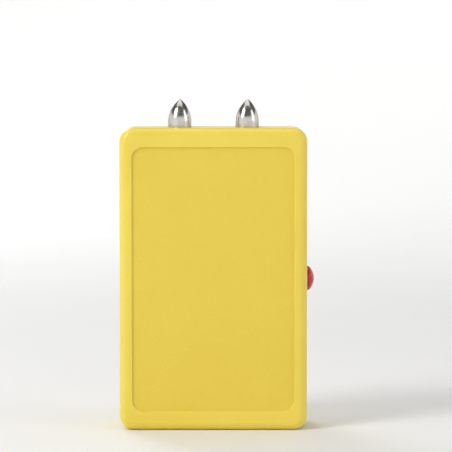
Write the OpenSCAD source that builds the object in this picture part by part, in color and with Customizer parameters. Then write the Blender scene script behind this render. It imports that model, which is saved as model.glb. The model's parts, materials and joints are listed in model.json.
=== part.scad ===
// Pocket electric stock prodder: a flat two-part case with two electrodes on top and a push button on its side.
// Seen from the front, X runs to the right and Z up. The front face looks along -Y.
// The origin is on the flat base, in the plane of the seam between the two shells.

/* [Case] */
// Width of the case
case_w = 80; // [80:1:100]
// Height of the case without the electrodes
case_h = 129; // [126:1:150]
// Depth from the seam to the front face
front_depth = 15; // [14.5:0.5:20]
// Depth from the seam to the back face
rear_depth = 15; // [15:0.5:20]
// Wall thickness of both shells
wall = 2.2; // [1.8:0.1:2.6]
// Radius of the four corners, seen from the front
corner_r = 6; // [5:0.5:9]
// Rounding of the edge round the front face
front_edge_r = 3.5; // [2.8:0.1:4.5]
// Rounding of the edge round the back face
rear_edge_r = 1.6; // [1:0.2:2.4]

/* [Front panel] */
// Width of the rim left and right of the recessed panel
rim_side = 5.7; // [5:0.1:12]
// Height of the rim above and below the recessed panel
rim_end = 8.5; // [6:0.5:20]
// Depth of the panel below the rim
panel_depth = 0.8; // [0.4:0.1:1.2]
// Corner radius of the panel
panel_r = 4.5; // [2:0.5:8]

/* [Seam] */
// Width of the shadow gap along the seam
seam_gap = 0.5; // [0.3:0.1:0.8]
// Depth of the shadow gap
seam_gap_depth = 0.5; // [0.3:0.1:0.6]
// Thickness of the tongue that locates the two shells
tongue_t = 1; // [0.8:0.1:1.1]
// Height of the tongue
tongue_h = 1.6; // [1:0.2:2.4]
// Play of the tongue in its rebate
tongue_clear = 0.15; // [0.1:0.05:0.25]

/* [Case screws] */
// Thread diameter of the case screws
screw_d = 2.9; // [2.5:0.1:3.1]
// Length of the case screws under the head
screw_l = 18; // [14:1:20]
// Head diameter of the case screws
screw_head_d = 5.2; // [4.6:0.1:5.4]
// Head height of the case screws
screw_head_h = 1.9; // [1.5:0.1:2.2]
// Depth of the screw seats below the back face
screw_sink = 4; // [3:0.25:5]
// Distance of the lower screws from the base
screw_low = 14; // [14:0.5:40]
// Distance of the upper screws from the top of the case
screw_high = 11; // [8:0.5:14]
// Diameter of the screw posts in the front shell
front_post_d = 5.4; // [4.8:0.1:5.6]

/* [Electrodes] */
// Distance between the two electrodes
electrode_spacing = 28.9; // [24:0.1:34]
// Diameter of the electrode tips
electrode_d = 10; // [8:0.5:12]
// Height of the electrode tips above the case
electrode_h = 12; // [10:0.5:18]
// Height of the straight part of a tip, below its pointed arch
electrode_straight = 2; // [1:0.5:6]
// Radius of the rounded nose
electrode_nose_r = 1; // [0.5:0.1:1.5]
// Diameter of the shank held between the shells
shank_d = 6; // [4.6:0.2:7]
// Diameter of the collar under the top wall
collar_d = 9; // [8:0.5:11]
// Thickness of the collar
collar_h = 2; // [1.5:0.25:3]
// Diameter of the tail below the collar
tail_d = 4.4; // [4:0.2:5]
// Length of the tail
tail_l = 7; // [5:0.5:8]

/* [Button] */
// Diameter of the push button
button_d = 10.4; // [9:0.2:11]
// Height of the button's axis above the base
button_z = 64; // [63.5:0.5:72]
// How far the button's crown stands out of the case
button_proud = 3.2; // [2.4:0.1:4]
// Height of the button's dome
button_dome = 2.2; // [1.2:0.1:2.4]
// Travel of the button
button_travel = 1.8; // [1.2:0.1:1.8]
// Thickness of the flange that keeps the button in the case
button_flange_t = 1.2; // [1:0.1:1.4]
// Diameter of the button's stem
stem_d = 5; // [4:0.2:6]
// Room for the return spring between the flange and the guide
spring_room = 2.8; // [2.6:0.1:3]
// Wire diameter of the return spring
spring_wire = 0.4; // [0.3:0.05:0.45]
// Turns of the return spring
spring_turns = 2; // [1.5:0.25:2.25]

/* [Switch] */
// Length of the switch body
switch_l = 19.8; // [19:0.1:20.5]
// Height of the switch body, from its terminals' side to its plunger's side
switch_h = 10.2; // [9.5:0.1:10.5]
// Thickness of the switch body
switch_t = 6.4; // [6:0.1:6.6]
// Distance between the switch's two fixing holes
switch_pitch = 9.5; // [9:0.1:10]
// Length of the lever from its pin to the button's axis
lever_l = 16.3; // [15:0.1:17]
// Thickness of the lever's strip
lever_t = 0.4; // [0.3:0.05:0.5]
// Width of the lever's strip
lever_w = 4; // [3:0.2:4.2]

/* [Cells and contacts] */
// Diameter of a cell
cell_d = 14.5; // [13.5:0.1:14.6]
// Length of a cell with its nub
cell_l = 50.5; // [49:0.1:50.8]
// Space between neighbouring cells
cell_gap = 0.3; // [0.2:0.1:0.4]
// Room for the contact springs at one end of each cell
contact_room = 3.6; // [3.4:0.1:4.2]
// Thickness of the contact plates
plate_t = 0.5; // [0.3:0.05:0.6]
// Wire diameter of the contact springs
contact_wire = 0.7; // [0.5:0.05:0.75]
// Turns of the contact springs
contact_turns = 2.5; // [2:0.25:2.5]

/* [Battery tray and door] */
// Wall thickness of the battery tray
tray_wall = 1.6; // [1.2:0.1:1.9]
// Thickness of the battery door
door_t = 2; // [1.6:0.1:2.2]
// Gap round the battery door
door_gap = 0.3; // [0.25:0.05:0.5]
// Height of the door's lower edge above the base
door_margin = 5.3; // [5:0.1:6.5]
// Diameter of the door's hinge pins
hinge_pin_d = 2.1; // [1.6:0.1:2.4]
// Width of the door's snap tongue
latch_w = 12; // [8:1:20]
// Radius of the thumb scoop above the door, on the back face
scoop_r = 7.4; // [6:0.2:9]

/* [Circuit board] */
// Height of the circuit board
board_h = 46; // [45:0.5:48]
// Thickness of the circuit board
board_t = 1.6; // [1:0.2:2]
// Distance from the board's sides to the case wall
board_side = 7.8; // [7.4:0.1:8.4]
// Thread diameter of the board screws
board_screw_d = 2; // [1.8:0.1:2.2]
// Width of the transformer's core
core_w = 24; // [22:0.5:25]
// Height of the transformer's core
core_h = 22; // [20:0.5:23]
// Diameter of the leads to the electrodes
high_voltage_lead_d = 2; // [1.6:0.1:2.2]
// Diameter of the leads from the battery tray
battery_lead_d = 1.6; // [1.2:0.1:1.8]

/* [Hidden] */
$fn = 64;
// Extra length of a cut past the face that it goes through
past = 1;
// How deep a rib or post is rooted in the wall that carries it
root = 0.5;
// Radial play of a pin or stem that runs in its hole
run_fit = 0.05;
// Space between neighbours that must not touch
clear = 0.3;
// Thin gap between two pieces that are clamped together
seat_gap = 0.1;
// Thickness of ribs inside the case
rib_t = 1.6;
// Rings in a turn of a spring, and sides of its wire
rings_per_turn = 8;
wire_sides = 6;

// Inside of the case
in_x = case_w / 2 - wall;
in_front = wall - front_depth;
in_rear = rear_depth - wall;
in_top = case_h - wall;
// Smallest rounding inside a shell
inner_edge_min = 0.4;

// Cells stand side by side, every second one upside down
cell_count = 4;
cell_pitch = cell_d + cell_gap;
cell_nub_d = 5.5;
cell_nub_h = 1.2;
cell_edge = 0.6;
tray_w = cell_count * cell_d + (cell_count - 1) * cell_gap + 2 * clear;
tray_x = tray_w / 2;
tray_base_t = 1.8;
tray_bottom = wall + tray_base_t;
tray_top = tray_bottom + 2 * plate_t + cell_l + contact_room + 2 * seat_gap;
hinge_r = door_t;
cell_y = rear_depth - 2 * hinge_r - clear - cell_d / 2;
tray_floor = cell_y - cell_d / 2 - clear;
tray_out_x = tray_x + tray_wall;
tray_out_top = tray_top + tray_wall;
cradle_h = 3;
cradle_w = 7.4;
rib_inset = 12.6;

// Battery door
hinge_y = rear_depth - hinge_r;
hinge_z = door_margin + door_gap + hinge_r;
hinge_pin_l = 1.2;
door_x = tray_x - door_gap;
door_top = tray_top - door_gap;
ledge_w = 1.5;
ledge_t = 1.5;
ledge_start = 6;
latch_slit = 0.8;
latch_l = 13;
hook_t = 1;
hook_catch = 0.7;
hook_room = 1;
door_rib_play = 1;
door_rib_l = 2 * (door_x - ledge_w - door_rib_play);
door_rib_t = 1.2;
door_rib_count = 3;
door_rib_pitch = 10;
grip_count = 4;
grip_r = 0.6;
grip_inset = 2;
grip_w = latch_w - 2 * grip_inset;
grip_pitch = 1.8;
scoop_depth = 1.4;
scoop_ball_r = (pow(scoop_r, 2) + pow(scoop_depth, 2)) / (2 * scoop_depth);

// Case screws
screw_x = tray_out_x + clear + front_post_d / 2;
screw_heights = [screw_low, case_h - screw_high];
screw_seat_y = rear_depth - screw_sink;
screw_tip_y = screw_seat_y - screw_l;
screw_head_room = 0.3;
rear_post_wall = 1;
rear_post_r = screw_head_d / 2 + screw_head_room + rear_post_wall;
screw_slot_w = 0.9;
screw_slot_l = 3.2;
screw_slot_h = 1.1;

// Push button, from the wall inwards
flange_out_x = in_x - clear;
flange_in_x = flange_out_x - button_flange_t;
guide_t = 1.3;
guide_out_x = flange_in_x - spring_room;
guide_in_x = guide_out_x - guide_t;
guide_h = 14;
guide_span = [button_z - guide_h / 2, button_z + guide_h / 2];
stem_out = 0.8;
stem_end_x = guide_in_x - stem_out;
stem_tip_h = 0.8;
button_r = button_d / 2;
button_gap = 0.3;
flange_rim = 1.4;
flange_r = button_r + flange_rim;
dome_r = (pow(button_r, 2) + pow(button_dome, 2)) / (2 * button_dome);
dome_edge_x = case_w / 2 + button_proud - button_dome;
spring_off = 1.7;
spring_r = stem_d / 2 + spring_off;

// Lever switch
lever_gap = 0.3;
lever_clear = 0.5;
lever_tip = 1.5;
lever_out_x = stem_end_x - lever_gap;
switch_face_x = lever_out_x - lever_t - button_travel - lever_clear;
switch_back_x = switch_face_x - switch_h;
switch_low = 1.2;
switch_z = button_z - switch_low;
switch_hole_d = 2.3;
switch_hole_in = 2.9;
switch_hole_x = switch_back_x + switch_hole_in;
switch_hole_z = [for (s = [-1, 1]) switch_z + switch_l / 2 + s * switch_pitch / 2];
lever_pin_r = 0.5;
lever_eye_r = 0.8;
lever_pin_out = 1.2;
lever_pin_x = switch_face_x + lever_pin_out;
lever_pin_z = button_z + lever_l;
lever_slope = (lever_out_x - lever_t / 2 - lever_pin_x) / lever_l;
ear_side_gap = 0.2;
ear_r = 1.3;
ear_t = switch_t / 2 - lever_w / 2 - ear_side_gap;
plunger_r = 1;
plunger_from_pin = 7.3;
plunger_gap = 0.2;
plunger_z = lever_pin_z - plunger_from_pin;
plunger_tip_x = lever_pin_x + lever_slope * plunger_from_pin - lever_t / 2 - plunger_gap;
plunger_l = 4;
terminal_count = 3;
terminal_pitch = 7.3;
terminal_w = 1.6;
terminal_t = 0.6;
terminal_reach = 3;

// Circuit board, flush with the switch's back
board_x = in_x - board_side;
board_rise = 0.8;
board_z = tray_out_top + board_rise;
board_top = board_z + board_h;
board_y = switch_t / 2;
board_back = board_y + board_t;
board_edge = 3.5;
board_holes = [
    [board_edge - board_x, board_z + board_edge],
    [board_edge - board_x, board_top - board_edge],
    [board_x - board_edge, board_top - board_edge],
];
board_screw_l = 7;
board_head_r = 2.1;
board_head_h = 1.4;
board_hole_play = 0.2;
board_post_r = 2.6;
pin_hole_r = 0.7;
terminal_x = switch_back_x - terminal_reach;
terminal_z = [for (i = [0:terminal_count - 1])
    switch_z + switch_l / 2 + (i - (terminal_count - 1) / 2) * terminal_pitch];

// Step-up transformer: a core of two E halves round a wound bobbin that stands on the board
core_x = -4;
core_t = 5;
core_leg = 5;
core_side = 3;
core_play = 0.2;
bobbin_wall = 1;
winding_t = 2.3;
winding_r = 2.5;
flange_t = 1.2;
flange_over = 0.6;
core_rise = 29.5;
spool_hole = grow([core_leg, core_t], core_play);
spool = grow(spool_hole, bobbin_wall);
winding_hole = grow(spool, seat_gap);
winding = grow(winding_hole, winding_t);
bobbin_flange = grow(winding, flange_over);
core_z = board_z + core_rise;
core_y = board_y - bobbin_flange.y / 2;
window_h = core_h - 2 * core_side;
spool_h = window_h - 2 * core_play;
winding_h = spool_h - 2 * flange_t - 2 * seat_gap;

// Board parts
part_edge = 1.5;
film_cap = [18, 12, 9];
film_cap_x = board_x - part_edge - film_cap.x;
film_cap_z = board_top - board_edge - board_head_r - clear - film_cap.z;
film_cap_r = 1;
can_r = 5;
can_l = 16;
can_edge = 3;
can_rise = 11.5;
can_x = can_edge - board_x;
can_z = board_z + can_rise;
can_groove = 0.5;
can_groove_in = 2;
can_lead = 1.5;
tab_w = 10;
tab_l = 15.6;
tab_t = 1.3;
tab_hole_r = 1.8;
body_l = 9;
body_t = 3.2;
transistor_x = -8;
transistor_rise = 2.5;
transistor_z = board_z + transistor_rise;
leg_t = 0.6;
leg_pitch = 2.54;
leg_l = 3;
axial_x = part_edge - board_x;
axial_l = 10.5;
axial_wire_r = 0.3;
resistor_count = 3;
resistor_rise = 22.5;
resistor_pitch = 4;
resistor_z = [for (i = [0:resistor_count - 1]) board_z + resistor_rise + i * resistor_pitch];
resistor_r = 1.2;
resistor_l = 6.4;
diode_count = 2;
diode_rise = 34.5;
diode_pitch = 3.5;
diode_z = [for (i = [0:diode_count - 1]) board_z + diode_rise + i * diode_pitch];
diode_r = 1;
diode_l = 4.6;

// Leads
lead_sides = 8;
lead_rings = 7;
lead_straight = 1.5;
lead_bend = 4;
high_voltage_pad_x = 10.5;
high_voltage_pad_edge = 2.2;
battery_pad_x = 13;
battery_pad_edge = 9;

// Contact plates and their solder tabs
plate_w = 11;
solder_tab_off = 4.4;
tab_y = cell_y + solder_tab_off;
solder_w = 3;
solder_l = 3.4;
slot_play = 0.4;
contact_r_base = 4.6;
contact_r_top = 2.6;

// Electrodes
electrode_x = electrode_spacing / 2;
electrode_r = electrode_d / 2;
arch_rise = electrode_h - electrode_straight - electrode_nose_r;
arch_r = (pow(arch_rise, 2) + pow(electrode_r, 2) - pow(electrode_nose_r, 2))
    / (2 * (electrode_r - electrode_nose_r));
nose_z = electrode_h - electrode_nose_r;
nose_start = electrode_straight + arch_r * arch_rise / (arch_r - electrode_nose_r);
shank_fit = 0.05;
collar_z = in_top - seat_gap - collar_h - case_h;
tail_z = collar_z - tail_l;
cup_play = 0.15;
cup_depth = 4;
barrier_t = 1.6;

// Colours
case_yellow = [0.91, 0.79, 0.25];
button_red = [0.75, 0.10, 0.08];
plated = [0.80, 0.80, 0.78];
steel = [0.62, 0.63, 0.65];
board_green = [0.10, 0.35, 0.18];
black = [0.10, 0.10, 0.11];
copper = [0.72, 0.42, 0.20];
cell_grey = [0.45, 0.47, 0.50];

// Helpers

function grow(size, by) = [size.x + 2 * by, size.y + 2 * by];

module box(x, y, z) {
    translate([x[0], y[0], z[0]])
        cube([x[1] - x[0], y[1] - y[0], z[1] - z[0]]);
}

module x_rod(x, y, z, r) {
    translate([x[0], y, z])
        rotate([0, 90, 0])
            cylinder(h = x[1] - x[0], r = r);
}

module y_rod(x, y, z, r) {
    translate([x, y[0], z])
        rotate([-90, 0, 0])
            cylinder(h = y[1] - y[0], r = r);
}

module rounded_rect(w, h, r) {
    translate([-w / 2, r])
        square([w, h - 2 * r]);
    translate([r - w / 2, 0])
        square([w - 2 * r, h]);
    for (x = [r - w / 2, w / 2 - r], y = [r, h - r])
        translate([x, y])
            circle(r);
}

// Side of a slab: the corner's axis is at x = 0, its outline at x = r, and its rounded edge at y = depth
module rim_profile(r, depth, edge) {
    square([r, depth - edge]);
    square([r - edge, depth]);
    intersection() {
        translate([r - edge, depth - edge])
            circle(edge);
        translate([r - edge, depth - edge])
            square(edge);
    }
}

// Sweeps a profile round a rounded rectangle that stands on y = 0
module swept_rim(w, h, r) {
    for (c = [[1, 1, 0, h], [-1, 1, 90, w], [-1, -1, 180, h], [1, -1, 270, w]])
        translate([c[0] * (w / 2 - r), h / 2 + c[1] * (h / 2 - r), 0]) {
            rotate([0, 0, c[2]])
                rotate_extrude(angle = 90)
                    children();
            rotate([90, 0, c[2]])
                linear_extrude(c[3] - 2 * r)
                    children();
        }
}

module rounded_slab(w, h, r, depth, edge) {
    swept_rim(w, h, r)
        rim_profile(r, depth, edge);
    translate([r - w / 2, r, 0])
        cube([w - 2 * r, h - 2 * r, depth]);
}

// Lays the seam on y = 0, with depth towards the front or towards the back
module facing_front() {
    rotate([90, 0, 0])
        children();
}

module facing_rear() {
    translate([0, 0, case_h])
        rotate([-90, 0, 0])
            children();
}

module shell_blank(depth, edge) {
    inner_edge = max(edge - wall, inner_edge_min);
    difference() {
        rounded_slab(case_w, case_h, corner_r, depth, edge);
        translate([0, wall, -past])
            rounded_slab(2 * in_x, case_h - 2 * wall, corner_r - wall, depth - wall + past, inner_edge);
    }
}

// Shadow gap along the outer edge of a shell's seam
module seam_gap_cut() {
    swept_rim(case_w, case_h, corner_r)
        translate([corner_r - seam_gap_depth, -past])
            square([seam_gap_depth + past, past + seam_gap / 2]);
}

// Openings that both shells share
module shared_openings() {
    for (side = [-1, 1])
        translate([side * electrode_x, 0, in_top - past])
            cylinder(h = wall + 2 * past, d = shank_d + 2 * shank_fit);
    x_rod([in_x - past, case_w / 2 + past], 0, button_z, button_r + button_gap);
    x_rod([guide_in_x - past, guide_out_x + past], 0, button_z, stem_d / 2 + run_fit);
}

// Points of a smooth curve between two ends, pulled by two handles
function curve(a, b, c, d, steps) = [for (i = [0:steps]) let (t = i / steps, s = 1 - t)
    s * s * s * a + 3 * s * s * t * b + 3 * s * t * t * c + t * t * t * d];

function unit(v) = v / norm(v);
function across(v, along) = unit(v - (v * along) * along);

// Points of a lead that leaves a along from and reaches b along into, straight for the length of each
function lead(a, from, b, into, bend, steps) = concat(
    [a],
    curve(a + from, a + from + bend * unit(from), b - into - bend * unit(into), b - into, steps),
    [b]);

// A round tube along points, as one closed surface
module tube(points, r, sides) {
    last = len(points) - 1;
    along = [for (i = [0:last]) unit(points[min(i + 1, last)] - points[max(i - 1, 0)])];
    side = abs(along[0].x) < abs(along[0].y) + abs(along[0].z) ? [1, 0, 0] : [0, 1, 0];
    out = [for (i = 0, v = across(side, along[0]);
        i <= last;
        i = i + 1, v = across(v, along[min(i, last)])) v];
    ring = [for (i = [0:last], k = [0:sides - 1]) let (a = 360 * k / sides)
        points[i] + r * (cos(a) * out[i] + sin(a) * cross(along[i], out[i]))];
    walls = [for (i = [0:last - 1], k = [0:sides - 1])
        let (a = i * sides + k, b = i * sides + (k + 1) % sides)
        each [[a, a + sides, b], [b, a + sides, b + sides]]];
    end = last * sides;
    caps = [for (k = [1:sides - 2]) each [[0, k, k + 1], [end, end + k + 1, end + k]]];
    polyhedron(ring, concat(walls, caps));
}

// Points of a coil round Z, whose radius can change along it
function coil(r0, r1, h, turns) = [for (i = [0:turns * rings_per_turn])
    let (t = i / (turns * rings_per_turn), a = 360 * turns * t, r = r0 + (r1 - r0) * t)
    [r * cos(a), r * sin(a), h * t]];
// Least gap of a coil to itself, from points half a turn or more apart
function coil_gap(points, wire) = min([
    for (i = [0:len(points) - 1], j = [i + rings_per_turn / 2:1:len(points) - 1])
        norm(points[i] - points[j])]) - wire;

button_coil = coil(spring_r, spring_r, spring_room - 2 * seat_gap - spring_wire, spring_turns);
contact_coil = coil(contact_r_base, contact_r_top, contact_room - contact_wire, contact_turns);
echo(button_spring_gap = coil_gap(button_coil, spring_wire));
echo(contact_spring_gap = coil_gap(contact_coil, contact_wire));

// Case

module front_posts() {
    for (side = [-1, 1], z = screw_heights) {
        y_rod(side * screw_x, [in_front - root, 0], z, front_post_d / 2);
        box([min(side * screw_x, side * (in_x + root)), max(side * screw_x, side * (in_x + root))],
            [in_front - root, -tongue_h - root - clear], [z - rib_t / 2, z + rib_t / 2]);
    }
}

// Ribs of the front shell: two behind the battery tray, the button's guide and the barrier between electrodes
module front_ribs() {
    tray_front = tray_floor - tray_wall - clear;
    for (z = [tray_bottom + rib_inset, tray_top - rib_inset])
        box([-tray_x, tray_x], [in_front - root, tray_front], [z - rib_t / 2, z + rib_t / 2]);
    box([guide_in_x, guide_out_x], [in_front - root, -seat_gap], guide_span);
    box([-barrier_t / 2, barrier_t / 2], [in_front - root, -seat_gap], [board_top + past, in_top + root]);
}

module front_shell() {
    pilot_y = screw_tip_y - past;
    color(case_yellow)
        difference() {
            union() {
                facing_front()
                    shell_blank(front_depth, front_edge_r);
                front_posts();
                front_ribs();
            }
            facing_front() {
                seam_gap_cut();
                swept_rim(case_w, case_h, corner_r)
                    translate([corner_r - wall - seat_gap, -past])
                        square([seat_gap + tongue_t + tongue_clear, past + tongue_h + tongue_clear]);
                translate([0, rim_end, front_depth - panel_depth])
                    linear_extrude(panel_depth + past)
                        rounded_rect(case_w - 2 * rim_side, case_h - 2 * rim_end, panel_r);
            }
            for (side = [-1, 1], z = screw_heights)
                y_rod(side * screw_x, [pilot_y, past], z, screw_d / 2 + run_fit);
            shared_openings();
        }
}

// Battery tray: an open box in the rear shell, with ridges between the cells
module tray() {
    floor_out = tray_floor - tray_wall;
    difference() {
        union() {
            box([-tray_out_x, tray_out_x], [floor_out, in_rear + root], [wall + clear, tray_out_top]);
            box([-tray_out_x, tray_out_x], [root, in_rear + root], [wall - root, tray_bottom]);
        }
        box([-tray_x, tray_x], [tray_floor, in_rear + 2 * root], [tray_bottom, tray_top]);
    }
    difference() {
        for (i = [1:cell_count - 1])
            translate([(i - cell_count / 2) * cell_pitch, 0, 0])
                box([-cradle_w / 2, cradle_w / 2], [tray_floor - root, tray_floor + cradle_h],
                    [tray_bottom + rib_inset, tray_top - rib_inset]);
        for (i = [0:cell_count - 1])
            translate([cell_x(i), cell_y, tray_bottom])
                cylinder(h = tray_top - tray_bottom, r = cell_d / 2 + clear);
    }
    for (side = [-1, 1])
        translate([side * (tray_x - ledge_w / 2 + root / 2), hinge_y - seat_gap - ledge_t / 2, 0])
            box([-(ledge_w + root) / 2, (ledge_w + root) / 2], [-ledge_t / 2, ledge_t / 2],
                [hinge_z + ledge_start, tray_top - ledge_start]);
}

// Openings of the tray: the doorway, the hinge sockets, the hook's pocket, the solder tabs' slots and the scoop
module tray_openings() {
    box([-tray_x, tray_x], [in_rear - root, rear_depth + past], [door_margin, tray_top]);
    for (side = [-1, 1])
        x_rod(side > 0 ? [tray_x - past, tray_x + hinge_pin_l] : [-tray_x - hinge_pin_l, past - tray_x],
            hinge_y, hinge_z, hinge_pin_d / 2 + run_fit);
    box([-latch_w / 2 - clear, latch_w / 2 + clear], [in_rear - hook_t - 2 * clear, in_rear],
        [tray_top - past, tray_top + hook_room]);
    for (i = [0, cell_count - 1])
        box([cell_x(i) - solder_w / 2 - slot_play, cell_x(i) + solder_w / 2 + slot_play],
            [tab_y - plate_t / 2 - slot_play, tab_y + plate_t / 2 + slot_play],
            [tray_top - past, tray_out_top + past]);
    translate([0, rear_depth + scoop_ball_r - scoop_depth, tray_top])
        sphere(scoop_ball_r);
}

// Posts of the rear shell, for the case screws, the board screws and the switch screws
module rear_posts() {
    for (side = [-1, 1], z = screw_heights)
        y_rod(side * screw_x, [0, in_rear + root], z, rear_post_r);
    for (p = board_holes)
        y_rod(p.x, [board_back, in_rear + root], p.y, board_post_r);
    for (z = switch_hole_z)
        y_rod(switch_hole_x, [board_back, in_rear + root], z, board_post_r);
    box([guide_in_x, guide_out_x], [0, in_rear + root], guide_span);
    box([-barrier_t / 2, barrier_t / 2], [0, in_rear + root], [board_top + past, in_top + root]);
}

module rear_holes() {
    for (side = [-1, 1], z = screw_heights) {
        y_rod(side * screw_x, [screw_seat_y, rear_depth + past], z, screw_head_d / 2 + screw_head_room);
        y_rod(side * screw_x, [-past, rear_depth], z, screw_d / 2 + board_hole_play);
    }
    for (p = concat(board_holes, [for (z = switch_hole_z) [switch_hole_x, z]]))
        y_rod(p.x, [board_back - past, board_y + board_screw_l + past], p.y, board_screw_d / 2 + run_fit);
}

module rear_shell() {
    color(case_yellow)
        difference() {
            union() {
                facing_rear() {
                    shell_blank(rear_depth, rear_edge_r);
                    swept_rim(case_w, case_h, corner_r)
                        translate([corner_r - wall, -tongue_h])
                            square([tongue_t, tongue_h + root]);
                }
                tray();
                rear_posts();
            }
            facing_rear()
                seam_gap_cut();
            tray_openings();
            rear_holes();
            shared_openings();
        }
}

// Battery door: a plate with a hinge barrel below, pressing ribs inside and a snap tongue above
module battery_door() {
    hook_y = in_rear - clear - hook_t;
    rib_h = hinge_y - (cell_y + cell_d / 2 + 2 * clear);
    color(case_yellow)
        difference() {
            union() {
                box([-door_x, door_x], [hinge_y, rear_depth], [hinge_z, door_top]);
                x_rod([-door_x, door_x], hinge_y, hinge_z, hinge_r);
                for (side = [-1, 1])
                    x_rod(side > 0 ? [door_x - root, tray_x + hinge_pin_l - seat_gap]
                            : [seat_gap - tray_x - hinge_pin_l, root - door_x],
                        hinge_y, hinge_z, hinge_pin_d / 2);
                for (i = [1:door_rib_count])
                    translate([0, hinge_y, hinge_z + i * door_rib_pitch])
                        box([-door_rib_l / 2, door_rib_l / 2], [-rib_h, root],
                            [-door_rib_t / 2, door_rib_t / 2]);
                translate([0, hook_y, door_top]) {
                    box([-latch_w / 2, latch_w / 2], [0, hinge_y + root - hook_y], [-2 * hook_t, 0]);
                    box([-latch_w / 2, latch_w / 2], [0, hook_t], [-root, door_gap + hook_catch]);
                }
            }
            for (i = [1:grip_count])
                x_rod([-grip_w / 2, grip_w / 2], rear_depth, door_top - i * grip_pitch, grip_r);
            for (side = [-1, 1])
                translate([side * (latch_w + latch_slit) / 2, 0, 0])
                    box([-latch_slit / 2, latch_slit / 2], [hinge_y - past, rear_depth + past],
                        [door_top - latch_l, door_top + past]);
        }
}

module case_screw() {
    y_rod(0, [screw_tip_y, screw_seat_y + root], 0, screw_d / 2);
    difference() {
        y_rod(0, [screw_seat_y, screw_seat_y + screw_head_h], 0, screw_head_d / 2);
        for (turn = [0, 90])
            rotate([0, turn, 0])
                translate([0, screw_seat_y + screw_head_h, 0])
                    cube([screw_slot_l, 2 * screw_slot_h, screw_slot_w], center = true);
    }
}

module case_screws() {
    color(steel)
        for (side = [-1, 1], z = screw_heights)
            translate([side * screw_x, 0, z])
                case_screw();
}

// Turned electrode: pointed arch tip, shank, collar and a tail with a solder cup
module electrode() {
    difference() {
        rotate_extrude() {
            square([electrode_r, electrode_straight]);
            intersection() {
                translate([electrode_r - arch_r, electrode_straight])
                    circle(arch_r);
                translate([0, electrode_straight])
                    square([electrode_r, nose_start - electrode_straight]);
            }
            intersection() {
                translate([0, nose_z])
                    circle(electrode_nose_r);
                translate([0, nose_z - electrode_nose_r])
                    square([electrode_nose_r, 2 * electrode_nose_r]);
            }
            translate([0, collar_z])
                square([shank_d / 2, -collar_z]);
            translate([0, collar_z])
                square([collar_d / 2, collar_h]);
            translate([0, tail_z])
                square([tail_d / 2, tail_l]);
        }
        translate([0, 0, tail_z - past])
            cylinder(h = cup_depth + past, d = high_voltage_lead_d + 2 * cup_play);
    }
}

module electrode_at(side) {
    color(plated)
        translate([side * electrode_x, 0, case_h])
            electrode();
}

module electrode_left() {
    electrode_at(-1);
}

module electrode_right() {
    electrode_at(1);
}

// Push button: domed head, flange behind the wall and a stem through the guide
module push_button() {
    color(button_red)
        translate([0, 0, button_z])
            rotate([0, 90, 0])
                rotate_extrude() {
                    translate([0, flange_in_x])
                        square([flange_r, button_flange_t]);
                    translate([0, flange_in_x])
                        square([button_r, dome_edge_x - flange_in_x]);
                    intersection() {
                        translate([0, dome_edge_x + button_dome - dome_r])
                            circle(dome_r);
                        translate([0, dome_edge_x])
                            square([button_r, button_dome]);
                    }
                    translate([0, stem_end_x + stem_tip_h])
                        square([stem_d / 2, flange_in_x - stem_end_x - stem_tip_h]);
                    polygon([
                        [0, stem_end_x],
                        [stem_d / 2 - stem_tip_h, stem_end_x],
                        [stem_d / 2, stem_end_x + stem_tip_h],
                        [0, stem_end_x + stem_tip_h],
                    ]);
                }
}

module button_spring() {
    color(steel)
        translate([guide_out_x + seat_gap + spring_wire / 2, 0, button_z])
            rotate([0, 90, 0])
                tube(button_coil, spring_wire / 2, wire_sides);
}

// Lever switch

module switch_body() {
    color(black)
        difference() {
            union() {
                box([switch_back_x, switch_face_x], [-switch_t / 2, switch_t / 2],
                    [switch_z, switch_z + switch_l]);
                for (side = [-1, 1])
                    translate([0, side * (switch_t - ear_t) / 2, lever_pin_z]) {
                        box([switch_face_x - root, lever_pin_x], [-ear_t / 2, ear_t / 2], [-ear_r, ear_r]);
                        y_rod(lever_pin_x, [-ear_t / 2, ear_t / 2], 0, ear_r);
                    }
            }
            y_rod(lever_pin_x, [-switch_t, switch_t], lever_pin_z, lever_pin_r + run_fit);
            x_rod([plunger_tip_x - plunger_l - button_travel, switch_face_x + past], 0, plunger_z,
                plunger_r + run_fit);
            for (z = switch_hole_z)
                y_rod(switch_hole_x, [-switch_t, switch_t], z, switch_hole_d / 2);
        }
}

module switch_plunger() {
    color(button_red)
        x_rod([plunger_tip_x - plunger_l, plunger_tip_x], 0, plunger_z, plunger_r);
}

module switch_lever() {
    tip_z = button_z - lever_tip;
    tip_x = lever_pin_x + lever_slope * (lever_pin_z - tip_z);
    color(steel) {
        y_rod(lever_pin_x, [-switch_t / 2, switch_t / 2], lever_pin_z, lever_pin_r);
        y_rod(lever_pin_x, [-lever_w / 2, lever_w / 2], lever_pin_z, lever_eye_r);
        rotate([90, 0, 0])
            linear_extrude(lever_w, center = true)
                polygon([
                    [lever_pin_x - lever_t / 2, lever_pin_z],
                    [lever_pin_x + lever_t / 2, lever_pin_z],
                    [tip_x + lever_t / 2, tip_z],
                    [tip_x - lever_t / 2, tip_z],
                ]);
    }
}

// Bent terminals, from the switch to the board and through it
module switch_terminals() {
    leg_x = [terminal_x - terminal_t / 2, terminal_x + terminal_t / 2];
    color(plated)
        for (z = terminal_z)
            translate([0, 0, z]) {
                box([leg_x[0], switch_back_x], [-terminal_t / 2, terminal_t / 2],
                    [-terminal_w / 2, terminal_w / 2]);
                box(leg_x, [-terminal_t / 2, board_y], [-terminal_w / 2, terminal_w / 2]);
                box(leg_x, [-terminal_t / 2, board_back + past], [-terminal_t / 2, terminal_t / 2]);
            }
}

module small_screw(head_y, tip_y) {
    y_rod(0, [head_y - board_head_h, head_y], 0, board_head_r);
    y_rod(0, [head_y - root, tip_y], 0, board_screw_d / 2);
}

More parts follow.
